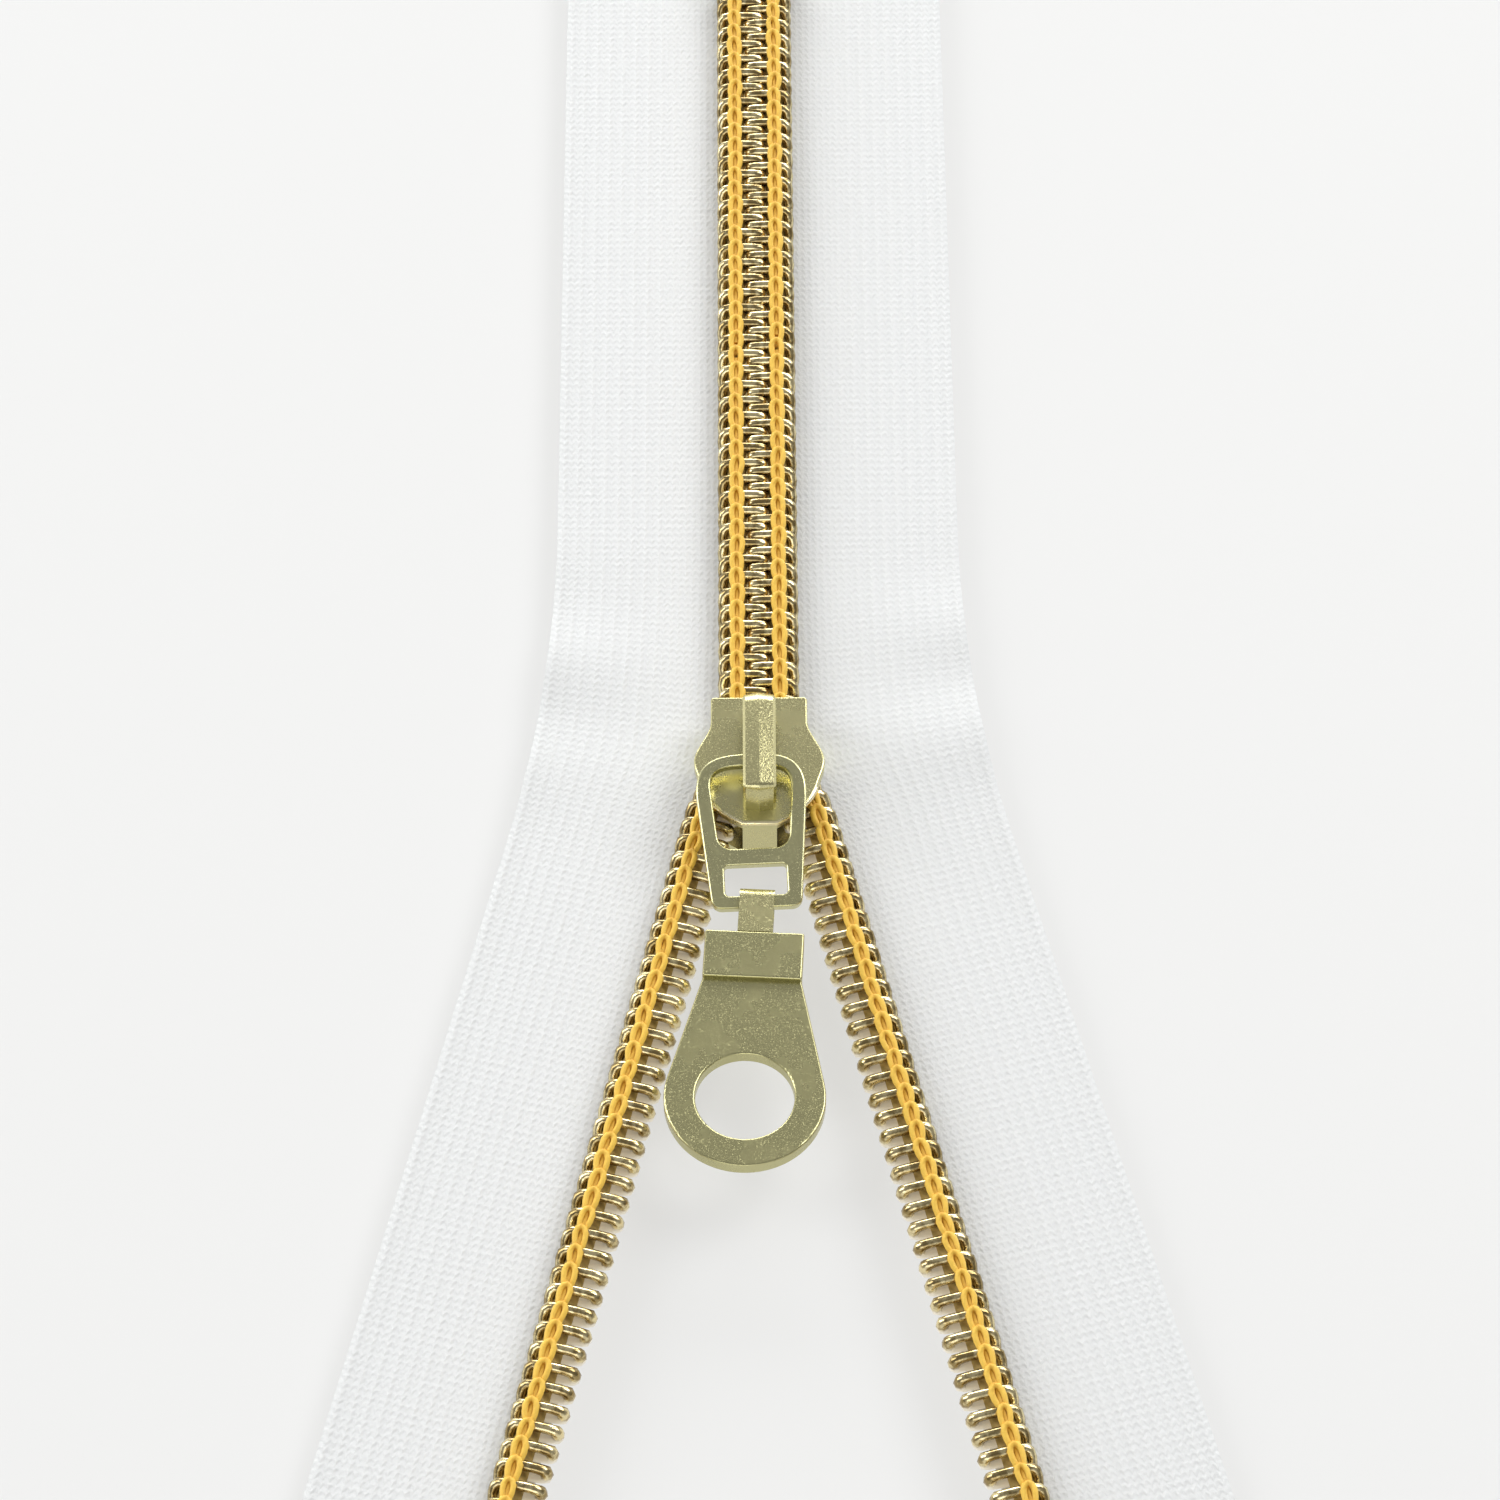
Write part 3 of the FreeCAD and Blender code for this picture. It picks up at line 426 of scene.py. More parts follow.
@dataclass(frozen=True)
class TwistedCord(Finish):
    """Filler cord with its plies twisted, painted golden brown for the brown shade and yellow reflection
    between the loops; its own colour is not known.
    """

    CONSTANTS = {"Roughness": 0.8}

    # Painted shade and reflection: both colours are golden brown so the gaps between the loops read brown.
    pale: Colour = (0.66, 0.48, 0.17, 1.0)
    dark: Colour = (0.40, 0.28, 0.08, 1.0)
    ply: float = 0.7
    slant: float = 0.8

    def paint(self, tree: Tree, shader: bpy.types.Node) -> None:
        """Slant the plies."""
        across, along, _ = tree.parts(coordinates(tree))
        slanting = along + across * self.slant
        plies = tree.maths("SINE", slanting * (TURN / (self.ply * MM)))
        share = plies * 0.3 + 0.35
        tree.feed(shader.inputs["Base Color"], tree.mixed(share, self.pale, self.dark))
        self.relief(tree, shader, plies, 0.5, 0.08)


@dataclass(frozen=True)
class Backdrop(Finish):
    """The pale surface that the zipper lies on; it glows a little, so that shadows on it stay soft."""

    CONSTANTS = {
        "Base Color": (0.25, 0.253, 0.255, 1.0),
        "Roughness": 0.7,
        "Emission Color": (1.0, 0.995, 0.975, 1.0),
        "Emission Strength": 0.57,
    }


# --- Geometry Nodes ---

WIRE_SIDES = 8
THREAD_SIDES = 6
ROUND_SIDES = 10
LINK_POINTS = 12
LINK_GROWTH = 0.07
LINK_LEAN = 0.14
CORE_SHARE = 0.85
# How deep the core thread counts: it gives the core the thread's painted shade.
CORE_DEPTH = 0.85


class Recipe:
    """A Geometry Nodes tree with named inputs, applied to a path to make a plain mesh."""

    def __init__(self, name: str, sizes: str, counts: str = "") -> None:
        """Start a tree.

        Args:
            name: the tree's name.
            sizes: the names of the inputs that are lengths and ratios, with spaces between.
            counts: the names of those that are whole numbers.
        """
        self.group = bpy.data.node_groups.new(name, "GeometryNodeTree")
        self.tree = Tree(self.group)
        face = self.group.interface
        for way in ("INPUT", "OUTPUT"):
            face.new_socket("Geometry", in_out=way, socket_type="NodeSocketGeometry")
        kinds = dict.fromkeys(sizes.split(), "Float") | dict.fromkeys(counts.split(), "Int")
        kinds["Material"] = "Material"
        self.sockets = {
            label: face.new_socket(label, in_out="INPUT", socket_type=f"NodeSocket{kind}").identifier
            for label, kind in kinds.items()
        }
        self.given = self.tree.node("NodeGroupInput")

    def size(self, name: str) -> Wire:
        """One of the tree's inputs."""
        return self.tree.wire(self.given, name)

    def finish(self, geometry: bpy.types.NodeSocket) -> None:
        """End the tree in Realize Instances, smooth shading and Set Material."""
        whole = self.tree.node("GeometryNodeRealizeInstances", None, {0: geometry})
        soft = self.tree.node("GeometryNodeSetShadeSmooth", None, {0: whole.outputs[0]})
        sockets = {"Geometry": soft.outputs[0], "Material": self.given.outputs["Material"]}
        dressed = self.tree.node("GeometryNodeSetMaterial", None, sockets)
        self.tree.node("NodeGroupOutput", None, {0: dressed.outputs[0]})

    def path(self) -> bpy.types.NodeSocket:
        """The path that the tree is applied to, as a curve."""
        return self.tree.node("GeometryNodeMeshToCurve", None, {0: self.given.outputs["Geometry"]}).outputs[0]

    def marked(self, geometry: bpy.types.NodeSocket, name: str,
               value: Wire | float) -> bpy.types.NodeSocket:
        """Geometry with a number stored at each of its points."""
        settings = {"data_type": "FLOAT", "domain": "POINT"}
        sockets = {"Geometry": geometry, "Name": name, "Value": value}
        return self.tree.node("GeometryNodeStoreNamedAttribute", settings, sockets).outputs[0]

    def moved(self, geometry: bpy.types.NodeSocket, place: bpy.types.NodeSocket) -> bpy.types.NodeSocket:
        """Geometry with its points at new places."""
        sockets = {"Geometry": geometry, "Position": place}
        return self.tree.node("GeometryNodeSetPosition", None, sockets).outputs[0]

    def placed(self, path: bpy.types.NodeSocket, length: Wire, across: Wire | float,
               height: Wire) -> bpy.types.NodeSocket:
        """A point beside a path.

        Args:
            path: the curve.
            length: how far along it.
            across: how far in from it, towards the other row.
            height: how far above the surface.

        Returns:
            The point, as a vector.
        """
        tree = self.tree
        sample = tree.node("GeometryNodeSampleCurve", {"mode": "LENGTH"},
                           {"Curves": path, "Length": length})
        cross = tree.vector("CROSS_PRODUCT", {0: sample.outputs["Tangent"], 1: UP})
        inward = tree.vector("SCALE", {0: cross, "Scale": across * self.size("Side")})
        lift = tree.node("ShaderNodeCombineXYZ", None, {2: height})
        beside = tree.vector("ADD", {0: sample.outputs["Position"], 1: inward})
        return tree.vector("ADD", {0: beside, 1: lift.outputs[0]})

    def tube(self, line: bpy.types.NodeSocket, radius: Wire, sides: int,
             swelling: Wire | float = 1.0) -> bpy.types.NodeSocket:
        """A closed round tube along a mesh line.

        Args:
            line: the mesh line.
            radius: the tube's radius.
            sides: how many faces go round it.
            swelling: how much wider it is at each point.

        Returns:
            The tube.
        """
        tree = self.tree
        stored = self.marked(line, "swelling", swelling)
        curve = tree.node("GeometryNodeMeshToCurve", None, {0: stored})
        ring = tree.node("GeometryNodeCurvePrimitiveCircle", None, {"Resolution": sides, "Radius": radius})
        wider = tree.node("GeometryNodeInputNamedAttribute", {"data_type": "FLOAT"}, {"Name": "swelling"})
        sockets = {"Curve": curve.outputs[0], "Profile Curve": ring.outputs[0], "Fill Caps": True,
                   "Scale": wider.outputs[0]}
        return tree.node("GeometryNodeCurveToMesh", None, sockets).outputs[0]

    def applied(self, name: str, path: bpy.types.Mesh, values: dict[str, Any]) -> bpy.types.Object:
        """Run the tree on a path.

        Args:
            name: the new piece's name.
            path: a mesh of edges that the piece follows.
            values: the value of each named input.

        Returns:
            The piece, as a plain mesh with no modifier.
        """
        source = placed_object(f"{name}_path", path)
        modifier = source.modifiers.new(self.group.name, "NODES")
        modifier.node_group = self.group
        for label, value in values.items():
            modifier[self.sockets[label]] = value
        depsgraph = bpy.context.evaluated_depsgraph_get()
        depsgraph.update()
        mesh = bpy.data.meshes.new_from_object(source.evaluated_get(depsgraph))
        bpy.data.objects.remove(source)
        mesh.name = name
        return placed_object(name, mesh)


def coil_recipe() -> Recipe:
    """The tree that winds a filament into a row of flattened loops beside a path.

    Returns:
        The recipe; each loop crosses over the path, turns down at its head and comes back below.
    """
    sizes = "Pitch Start Side Wire Middle Reach Centre Rise Squareness Swell"
    recipe = Recipe("coil_winding", sizes, "Loops Steps")
    tree = recipe.tree
    count = recipe.size("Loops") * recipe.size("Steps") + 1.0
    line = tree.node("GeometryNodeMeshLine", None, {"Count": count})
    turn = tree.wire(tree.node("GeometryNodeInputIndex")) / recipe.size("Steps")
    share = tree.maths("FRACT", turn)
    angle = share * TURN

    def squared(value: Wire) -> Wire:
        """A sine or cosine with its rounds pressed flat."""
        return tree.maths("SIGN", value) * abs(value) ** recipe.size("Squareness")

    across = recipe.size("Middle") + recipe.size("Reach") * squared(tree.maths("COSINE", angle))
    height = recipe.size("Centre") + recipe.size("Rise") * squared(tree.maths("SINE", angle))
    advance = tree.maths("FLOOR", turn) + tree.smooth(share, 0.34, 0.74)
    length = recipe.size("Start") + advance * recipe.size("Pitch")
    wound = recipe.moved(line.outputs[0], recipe.placed(recipe.path(), length, across, height))
    below = tree.smooth(share, 0.52, 0.66) * (1.0 - tree.smooth(share, 0.84, 0.98))
    inner = tree.maths("COSINE", angle) * 0.5 + 0.5
    swelling = (below + tree.smooth(inner, 0.78, 1.0)) * recipe.size("Swell") + 1.0
    marked = recipe.marked(wound, "inner", inner)
    recipe.finish(recipe.tube(marked, recipe.size("Wire"), WIRE_SIDES, swelling))
    return recipe


def stitch_recipe() -> Recipe:
    """The tree that lays a chain of teardrop thread loops along a path.

    Returns:
        The recipe; it stores how deep each point lies between the strands as "depth", which the thread's
        finish paints as shade.
    """
    recipe = Recipe("chain_stitching", "Pitch Start Side Thread Width Long Base", "Links")
    tree = recipe.tree
    path = recipe.path()
    ring = tree.node("GeometryNodeMeshCircle", None, {"Vertices": LINK_POINTS, "Radius": 1.0})
    angle = tree.wire(tree.node("GeometryNodeInputIndex")) * (TURN / LINK_POINTS)
    ahead = tree.maths("COSINE", angle)
    beside = tree.maths("SINE", angle) * (1.0 - ahead * 0.42)
    sockets = {
        0: ahead * recipe.size("Long") * 0.5,
        1: beside * recipe.size("Width") * 0.5,
        2: recipe.size("Thread") * (0.15 - ahead * 0.75),
    }
    shape = tree.node("ShaderNodeCombineXYZ", None, sockets)
    drop = recipe.moved(ring.outputs[0], shape.outputs[0])
    loop = recipe.tube(drop, recipe.size("Thread"), THREAD_SIDES)
    _, sideways, above = tree.parts(tree.node("GeometryNodeInputPosition").outputs[0])
    edge = abs(sideways) / (recipe.size("Width") * 0.5)
    low = 0.5 - above / recipe.size("Thread") * 0.45
    # depth is the mask of the thread's painted shade.
    depth = (1.0 - tree.smooth(edge, 0.10, 0.72)) * 0.7 + tree.smooth(low, 0.45, 1.2) * 0.55
    link = recipe.marked(loop, "depth", depth)
    places = tree.node("GeometryNodeMeshLine", None, {"Count": recipe.size("Links")})
    number = tree.wire(tree.node("GeometryNodeInputIndex"))
    length = recipe.size("Start") + number * recipe.size("Pitch")
    spots = recipe.moved(places.outputs[0], recipe.placed(path, length, 0.0, recipe.size("Base")))
    sample = tree.node("GeometryNodeSampleCurve", {"mode": "LENGTH"}, {"Curves": path, "Length": length})
    turned = tree.node("FunctionNodeAlignRotationToVector", {"axis": "X"},
                       {"Vector": sample.outputs["Tangent"]})
    wobble = tree.node("FunctionNodeRandomValue", {"data_type": "FLOAT"},
                       {2: 1.0 - LINK_GROWTH, 3: 1.0 + LINK_GROWTH, "ID": number, "Seed": 7})
    lean = tree.node("FunctionNodeRandomValue", {"data_type": "FLOAT"},
                     {2: -LINK_LEAN, 3: LINK_LEAN, "ID": number, "Seed": 11})
    twist = tree.node("FunctionNodeEulerToRotation", None,
                      {0: tree.node("ShaderNodeCombineXYZ", None, {2: lean.outputs[1]}).outputs[0]})
    leaning = tree.node("FunctionNodeRotateRotation", {"rotation_space": "LOCAL"},
                        {0: turned.outputs[0], 1: twist.outputs[0]})
    chain = tree.node("GeometryNodeInstanceOnPoints", None, {
        "Points": spots, "Instance": link,
        "Rotation": leaning.outputs[0], "Scale": wobble.outputs[1],
    })
    # The core thread is marked deep, so it takes the thread's painted shade.
    core = recipe.tube(spots, recipe.size("Thread") * CORE_SHARE, THREAD_SIDES)
    both = tree.node("GeometryNodeJoinGeometry")
    tree.feed(both.inputs[0], chain.outputs[0])
    tree.feed(both.inputs[0], recipe.marked(core, "depth", CORE_DEPTH))
    recipe.finish(both.outputs[0])
    return recipe


def cord_recipe() -> Recipe:
    """The tree that lays a flattened cord beside a path.

    Returns:
        The recipe.
    """
    recipe = Recipe("filler_cord", "Start Length Side Middle Height Thickness Flatness", "Points")
    tree = recipe.tree
    line = tree.node("GeometryNodeMeshLine", None, {"Count": recipe.size("Points")})
    share = tree.wire(tree.node("GeometryNodeInputIndex")) / (recipe.size("Points") - 1.0)
    length = recipe.size("Start") + share * recipe.size("Length")
    place = recipe.placed(recipe.path(), length, recipe.size("Middle"), recipe.size("Height"))
    curve = tree.node("GeometryNodeMeshToCurve", None, {0: recipe.moved(line.outputs[0], place)})
    ring = tree.node("GeometryNodeCurvePrimitiveCircle", None,
                     {"Resolution": ROUND_SIDES, "Radius": recipe.size("Thickness")})
    widening = tree.node("ShaderNodeCombineXYZ", None, {0: recipe.size("Flatness"), 1: 1.0, 2: 1.0})
    oval = tree.node("GeometryNodeTransform", None,
                     {"Geometry": ring.outputs[0], "Scale": widening.outputs[0]})
    sockets = {"Curve": curve.outputs[0], "Profile Curve": oval.outputs[0], "Fill Caps": True}
    recipe.finish(tree.node("GeometryNodeCurveToMesh", None, sockets).outputs[0])
    return recipe


# --- The rows ---

PROBE = 0.05
Place = tuple[float, float, float]


def line_mesh(name: str, places: list[Place]) -> bpy.types.Mesh:
    """A mesh of edges from each place to the next."""
    mesh = bpy.data.meshes.new(name)
    mesh.from_pydata(places, [(n, n + 1) for n in range(len(places) - 1)], [])
    return mesh


@dataclass
class SewingLine:
    """The line along which one coil is sewn, from the closed end down to the end of its leg."""

    side: Side
    leg_angle: float
    out: float = 1.58
    closed_end: float = 90.0
    chain_top: float = 76.8
    legs_meet: float = 6.8
    bend_start: float = 3.4
    bend_finish: float = -4.2
    leg_rest: float = 76.8
    easing: float = 0.40
    steps: int = 24

    def leg_point(self, along: float) -> np.ndarray:
        """The point of the leg's straight line at a place along Y."""
        lean = math.tan(math.radians(self.leg_angle))
        return np.array([self.side.value * (self.out + lean * (self.legs_meet - along)), along])

    @property
    def leg_way(self) -> np.ndarray:
        """The direction of the leg, away from the closed end."""
        radians = math.radians(self.leg_angle)
        return np.array([self.side.value * math.sin(radians), -math.cos(radians)])

    def bend(self) -> np.ndarray:
        """The smooth curve inside the slider, from the closed chain to the leg.

        Returns:
            Its points, in order.
        """
        first = np.array([self.side.value * self.out, self.bend_start])
        last = self.leg_point(self.bend_finish)
        reach = self.bend_start - self.bend_finish
        share = np.linspace(0.0, 1.0, self.steps)[:, None]
        rest = 1.0 - share
        near_first = first + np.array([0.0, -self.easing * reach])
        near_last = last - self.leg_way * self.easing * reach
        weights = (rest ** 3, 3 * rest ** 2 * share, 3 * rest * share ** 2, share ** 3)
        return sum(w * p for w, p in zip(weights, (first, near_first, near_last, last)))

    def points(self) -> np.ndarray:
        """The whole line.

        Returns:
            Its points in millimetres, from the closed end.
        """
        top = np.array([[self.side.value * self.out, self.closed_end]])
        curve = self.bend()
        end = curve[-1] + self.leg_way * self.leg_rest
        return np.vstack([top, curve, end[None, :]])

    def lengths(self) -> np.ndarray:
        """The distance from the closed end to each of the line's points."""
        steps = np.linalg.norm(np.diff(self.points(), axis=0), axis=1)
        return np.concatenate([[0.0], np.cumsum(steps)])

    def at(self, length: np.ndarray) -> np.ndarray:
        """The line's points at distances from the closed end."""
        points, lengths = self.points(), self.lengths()
        return np.stack([np.interp(length, lengths, points[:, axis]) for axis in range(2)], axis=1)

    def inward(self, length: np.ndarray) -> np.ndarray:
        """The level direction towards the other row at distances from the closed end."""
        way = self.at(length + PROBE) - self.at(length - PROBE)
        way /= np.linalg.norm(way, axis=1)[:, None]
        return np.stack([way[:, 1], -way[:, 0]], axis=1) * self.side.value

    def mesh(self) -> bpy.types.Mesh:
        """The line as a mesh of edges, in metres."""
        return line_mesh("sewing_line", [(x * MM, y * MM, 0.0) for x, y in self.points()])


@dataclass
class Row:
    """One side of the zipper: its tape, filler cord, coil and stitches, each in two lengths."""

    STANDS_FOR = {"tape": "tape", "filler_cord": "core_cord", "coil": "coil", "stitches": "stitch_row"}
    SLOTS = {"tape": "woven_tape", "filler_cord": "filler_cord", "coil": "coil", "stitches": "stitches"}

    line: SewingLine
    finishes: dict[str, bpy.types.Material]
    recipes: dict[str, Recipe]
    offset: float = 0.0
    pitch: float = 1.5
    join: float = 38.0
    leg_chain: float = 71.5
    closed_bend: tuple[float, float] = (77.0, 69.0)
    leg_bend: tuple[float, float] = (8.0, -8.0)
    wire: float = 0.375
    coil_heel: float = 1.47
    coil_head: float = 2.50
    coil_low: float = 1.75
    coil_high: float = 3.75
    squareness: float = 0.55
    swell: float = 0.28
    coil_steps: int = 16
    thread: float = 0.235
    stitch_width: float = 0.68
    stitch_long: float = 1.85
    stitch_base: float = 3.67
    cord_middle: float = 0.1
    cord_height: float = 2.75
    cord_thickness: float = 0.34
    cord_flatness: float = 2.5
    tape_inner: float = 1.33
    tape_outer: float = 13.60
    tape_height: float = 1.45
    tape_thickness: float = 0.5
    tape_step: float = 0.9
    ease_start: float = 23.0
    ease_reach: float = 14.0
    buckle_rise: float = 0.5
    buckle_below_end: float = 7.0
    buckle_reach: float = 10.0
    buckle_wave: float = 12.5
    selvedge_rise: float = 0.08
    selvedge_place: float = 0.975
    selvedge_reach: float = 0.018

    def attach(self, piece: bpy.types.Object, kind: str, stretch: Stretch) -> None:
        """Bake a piece's place into its mesh and hide the imported parts that it stands for.

        Args:
            piece: the finished piece.
            kind: which of the row's pieces it is.
            stretch: which length of the row it is.
        """
        word = self.line.side.word
        upper = stretch is Stretch.UPPER
        lengths = ("closed_end", "run") if upper else ("run", "leg")
        across = self.line.side.value * self.line.out * MM
        bend = self.closed_bend if upper else self.leg_bend
        ends = [(across, y * MM, self.tape_height * MM) for y in bend]
        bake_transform(piece)
        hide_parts(*(f"{self.STANDS_FOR[kind]}_{word}_{length}" for length in lengths))
        report(piece)

    def name(self, kind: str, stretch: Stretch) -> str:
        """A piece's name."""
        return f"{self.line.side.word}_{kind}_{stretch.value}"

    def stations(self, stretch: Stretch) -> tuple[float, int]:
        """Where a length's loops start along the line, and how many there are."""
        first = self.line.closed_end - self.line.chain_top + self.offset
        upper = int((self.line.chain_top - self.join) / self.pitch)
        total = int((self.line.chain_top + self.leg_chain - self.offset) / self.pitch) - 1
        if stretch is Stretch.UPPER:
            return first, upper
        return first + upper * self.pitch, total - upper

    def lay(self, kind: str, stretch: Stretch, sizes: dict[str, float], plain: dict[str, float]) -> None:
        """Run a recipe beside the sewing line and attach what it makes.

        Args:
            kind: which of the row's pieces it is.
            stretch: which length of the row it is.
            sizes: the recipe's inputs that are lengths, in millimetres.
            plain: its inputs that are counts and ratios.
        """
        values = {name: size * MM for name, size in sizes.items()} | plain
        values |= {"Side": float(self.line.side.value), "Material": self.finishes[kind]}
        piece = self.recipes[kind].applied(self.name(kind, stretch), self.line.mesh(), values)
        self.attach(piece, kind, stretch)

    def coil(self, stretch: Stretch) -> None:
        """Wind one length of the coil."""
        start, loops = self.stations(stretch)
        sizes = {
            "Pitch": self.pitch,
            "Start": start,
            "Wire": self.wire,
            "Middle": (self.coil_head - self.coil_heel) / 2.0,
            "Reach": (self.coil_head + self.coil_heel) / 2.0 - self.wire,
            "Centre": (self.coil_low + self.coil_high) / 2.0,
            "Rise": (self.coil_high - self.coil_low) / 2.0 - self.wire,
        }
        plain = {"Squareness": self.squareness, "Swell": self.swell, "Loops": loops, "Steps": self.coil_steps}
        self.lay("coil", stretch, sizes, plain)

    def stitches(self, stretch: Stretch) -> None:
        """Sew one length of the chain stitches."""
        start, loops = self.stations(stretch)
        sizes = {
            "Pitch": self.pitch,
            "Start": start + self.pitch * 0.5,
            "Thread": self.thread,
            "Width": self.stitch_width,
            "Long": self.stitch_long,
            "Base": self.stitch_base,
        }
        self.lay("stitches", stretch, sizes, {"Links": loops})

    def filler(self, stretch: Stretch) -> None:
        """Lay one length of the filler cord inside the coil."""
        start, loops = self.stations(stretch)
        sizes = {
            "Start": start,
            "Length": loops * self.pitch,
            "Middle": self.cord_middle,
            "Height": self.cord_height,
            "Thickness": self.cord_thickness,
        }
        points = max(2, int(loops * self.pitch))
        self.lay("filler_cord", stretch, sizes, {"Flatness": self.cord_flatness, "Points": points})

    def outer_edge(self, length: np.ndarray) -> np.ndarray:
        """The tape's outer edge, which eases round the bend on a wide curve.

        Args:
            length: distances along the sewing line.

        Returns:
            The edge's points.
        """
        side = self.line.side.value
        angle = math.radians(self.line.leg_angle)
        straight_out = self.line.out + self.tape_outer
        corner_along = self.line.legs_meet + self.tape_outer * math.tan(angle / 2.0)
        corner = np.array([side * straight_out, corner_along])
        first = np.array([side * straight_out, self.ease_start])
        last = corner + self.line.leg_way * self.ease_reach
        begin = self.line.closed_end - self.ease_start
        leg_foot = last - np.array([side * math.cos(angle), math.sin(angle)]) * self.tape_outer
        foot = self.line.points()[-1]
        finish = self.line.lengths()[-1] - np.linalg.norm(foot - leg_foot)
        share = np.clip((length - begin) / (finish - begin), 0.0, 1.0)[:, None]
        curve = (1 - share) ** 2 * first + 2 * share * (1 - share) * corner + share ** 2 * last
        before = np.maximum(begin - length, 0.0)[:, None] * np.array([[0.0, 1.0]])
        after = np.maximum(length - finish, 0.0)[:, None] * self.line.leg_way[None, :]
        return curve + before + after

    def tape(self, stretch: Stretch) -> None:
        """Weave one length of the tape, a sheet with a thickness and a thicker outer selvedge."""
        middle = self.line.closed_end - self.join
        finish = self.line.lengths()[-1]
        low, high = (0.0, middle) if stretch is Stretch.UPPER else (middle, finish)
        length = np.linspace(low, high, int((high - low) / self.tape_step) + 1)
        inner = self.line.at(length) + self.line.inward(length) * self.tape_inner
        outer = self.outer_edge(length)
        shares = np.concatenate([np.linspace(0.0, 0.94, 16), [0.965, 0.985, 1.0]])
        buckled = self.line.closed_end - self.buckle_below_end
        buckle = np.exp(-(((length - buckled) / self.buckle_reach) ** 2))
        places = []
        for share in shares:
            level = inner * (1 - share) + outer * share
            wave = 0.5 + 0.5 * np.sin(TURN * length / self.buckle_wave + self.line.side.value)
            rise = self.buckle_rise * buckle * wave * share ** 2
            nearness = (share - self.selvedge_place) / self.selvedge_reach
            selvedge = self.selvedge_rise * math.exp(-(nearness ** 2))
            height = self.tape_height + rise + selvedge
            places.append(np.column_stack([level, height]))
        grid = np.stack(places, axis=1)
        width = self.tape_inner + self.tape_outer
        piece = sheet_from_grid(self.name("tape", stretch), grid * MM, shares * width, length)
        if self.line.side is Side.LEFT:
            piece.data.flip_normals()
        piece.data.materials.append(self.finishes["tape"])
        thicken(piece, self.tape_thickness * MM)
        self.attach(piece, "tape", stretch)
        width * MM
        (high - low) * MM

    def build(self) -> None:
        """Make every piece of the row."""
        for stretch in Stretch:
            self.tape(stretch)
            self.filler(stretch)
            self.coil(stretch)
            self.stitches(stretch)


# --- Mesh helpers ---


def sheet_from_grid(name: str, grid: np.ndarray, across: np.ndarray,
                    along: np.ndarray) -> bpy.types.Object:
    """A sheet of quads through a grid of points.

    Args:
        name: the piece's name.
        grid: points by row and column.
        across: the first UV value of each column.
        along: the second UV value of each row.

    Returns:
        The sheet, smooth shaded.
    """
    rows, columns = grid.shape[:2]
    corners = [
        (r * columns + c, r * columns + c + 1, (r + 1) * columns + c + 1, (r + 1) * columns + c)
        for r in range(rows - 1) for c in range(columns - 1)
    ]
    mesh = bpy.data.meshes.new(name)
    mesh.from_pydata([tuple(p) for p in grid.reshape(-1, 3)], [], corners)
    layer = mesh.uv_layers.new(name="Weave")
    for loop in mesh.loops:
        row, column = divmod(loop.vertex_index, columns)
        layer.data[loop.index].uv = (across[column], along[row])
    mesh.polygons.foreach_set("use_smooth", [True] * len(mesh.polygons))
    return placed_object(name, mesh)


def thicken(piece: bpy.types.Object, thickness: float) -> None:
    """Give a sheet its thickness, centred on it, as plain mesh.

    Args:
        piece: the sheet.
        thickness: its thickness, in metres.
    """
    solid = piece.modifiers.new("thickness", "SOLIDIFY")
    solid.thickness = thickness
    solid.offset = 0.0
    depsgraph = bpy.context.evaluated_depsgraph_get()
    mesh = bpy.data.meshes.new_from_object(piece.evaluated_get(depsgraph))
    piece.modifiers.clear()
    piece.data = mesh
    mesh.set_sharp_from_angle(angle=math.radians(40.0))


def dress(node: str, material: bpy.types.Material) -> None:
    """Give a carried-over part its finish.

    Args:
        node: the part's name.
        material: its finish.
    """
    part = bpy.data.objects[node]
    if not part.material_slots:
        part.data.materials.append(material)
    for slot in part.material_slots:
        slot.material = material


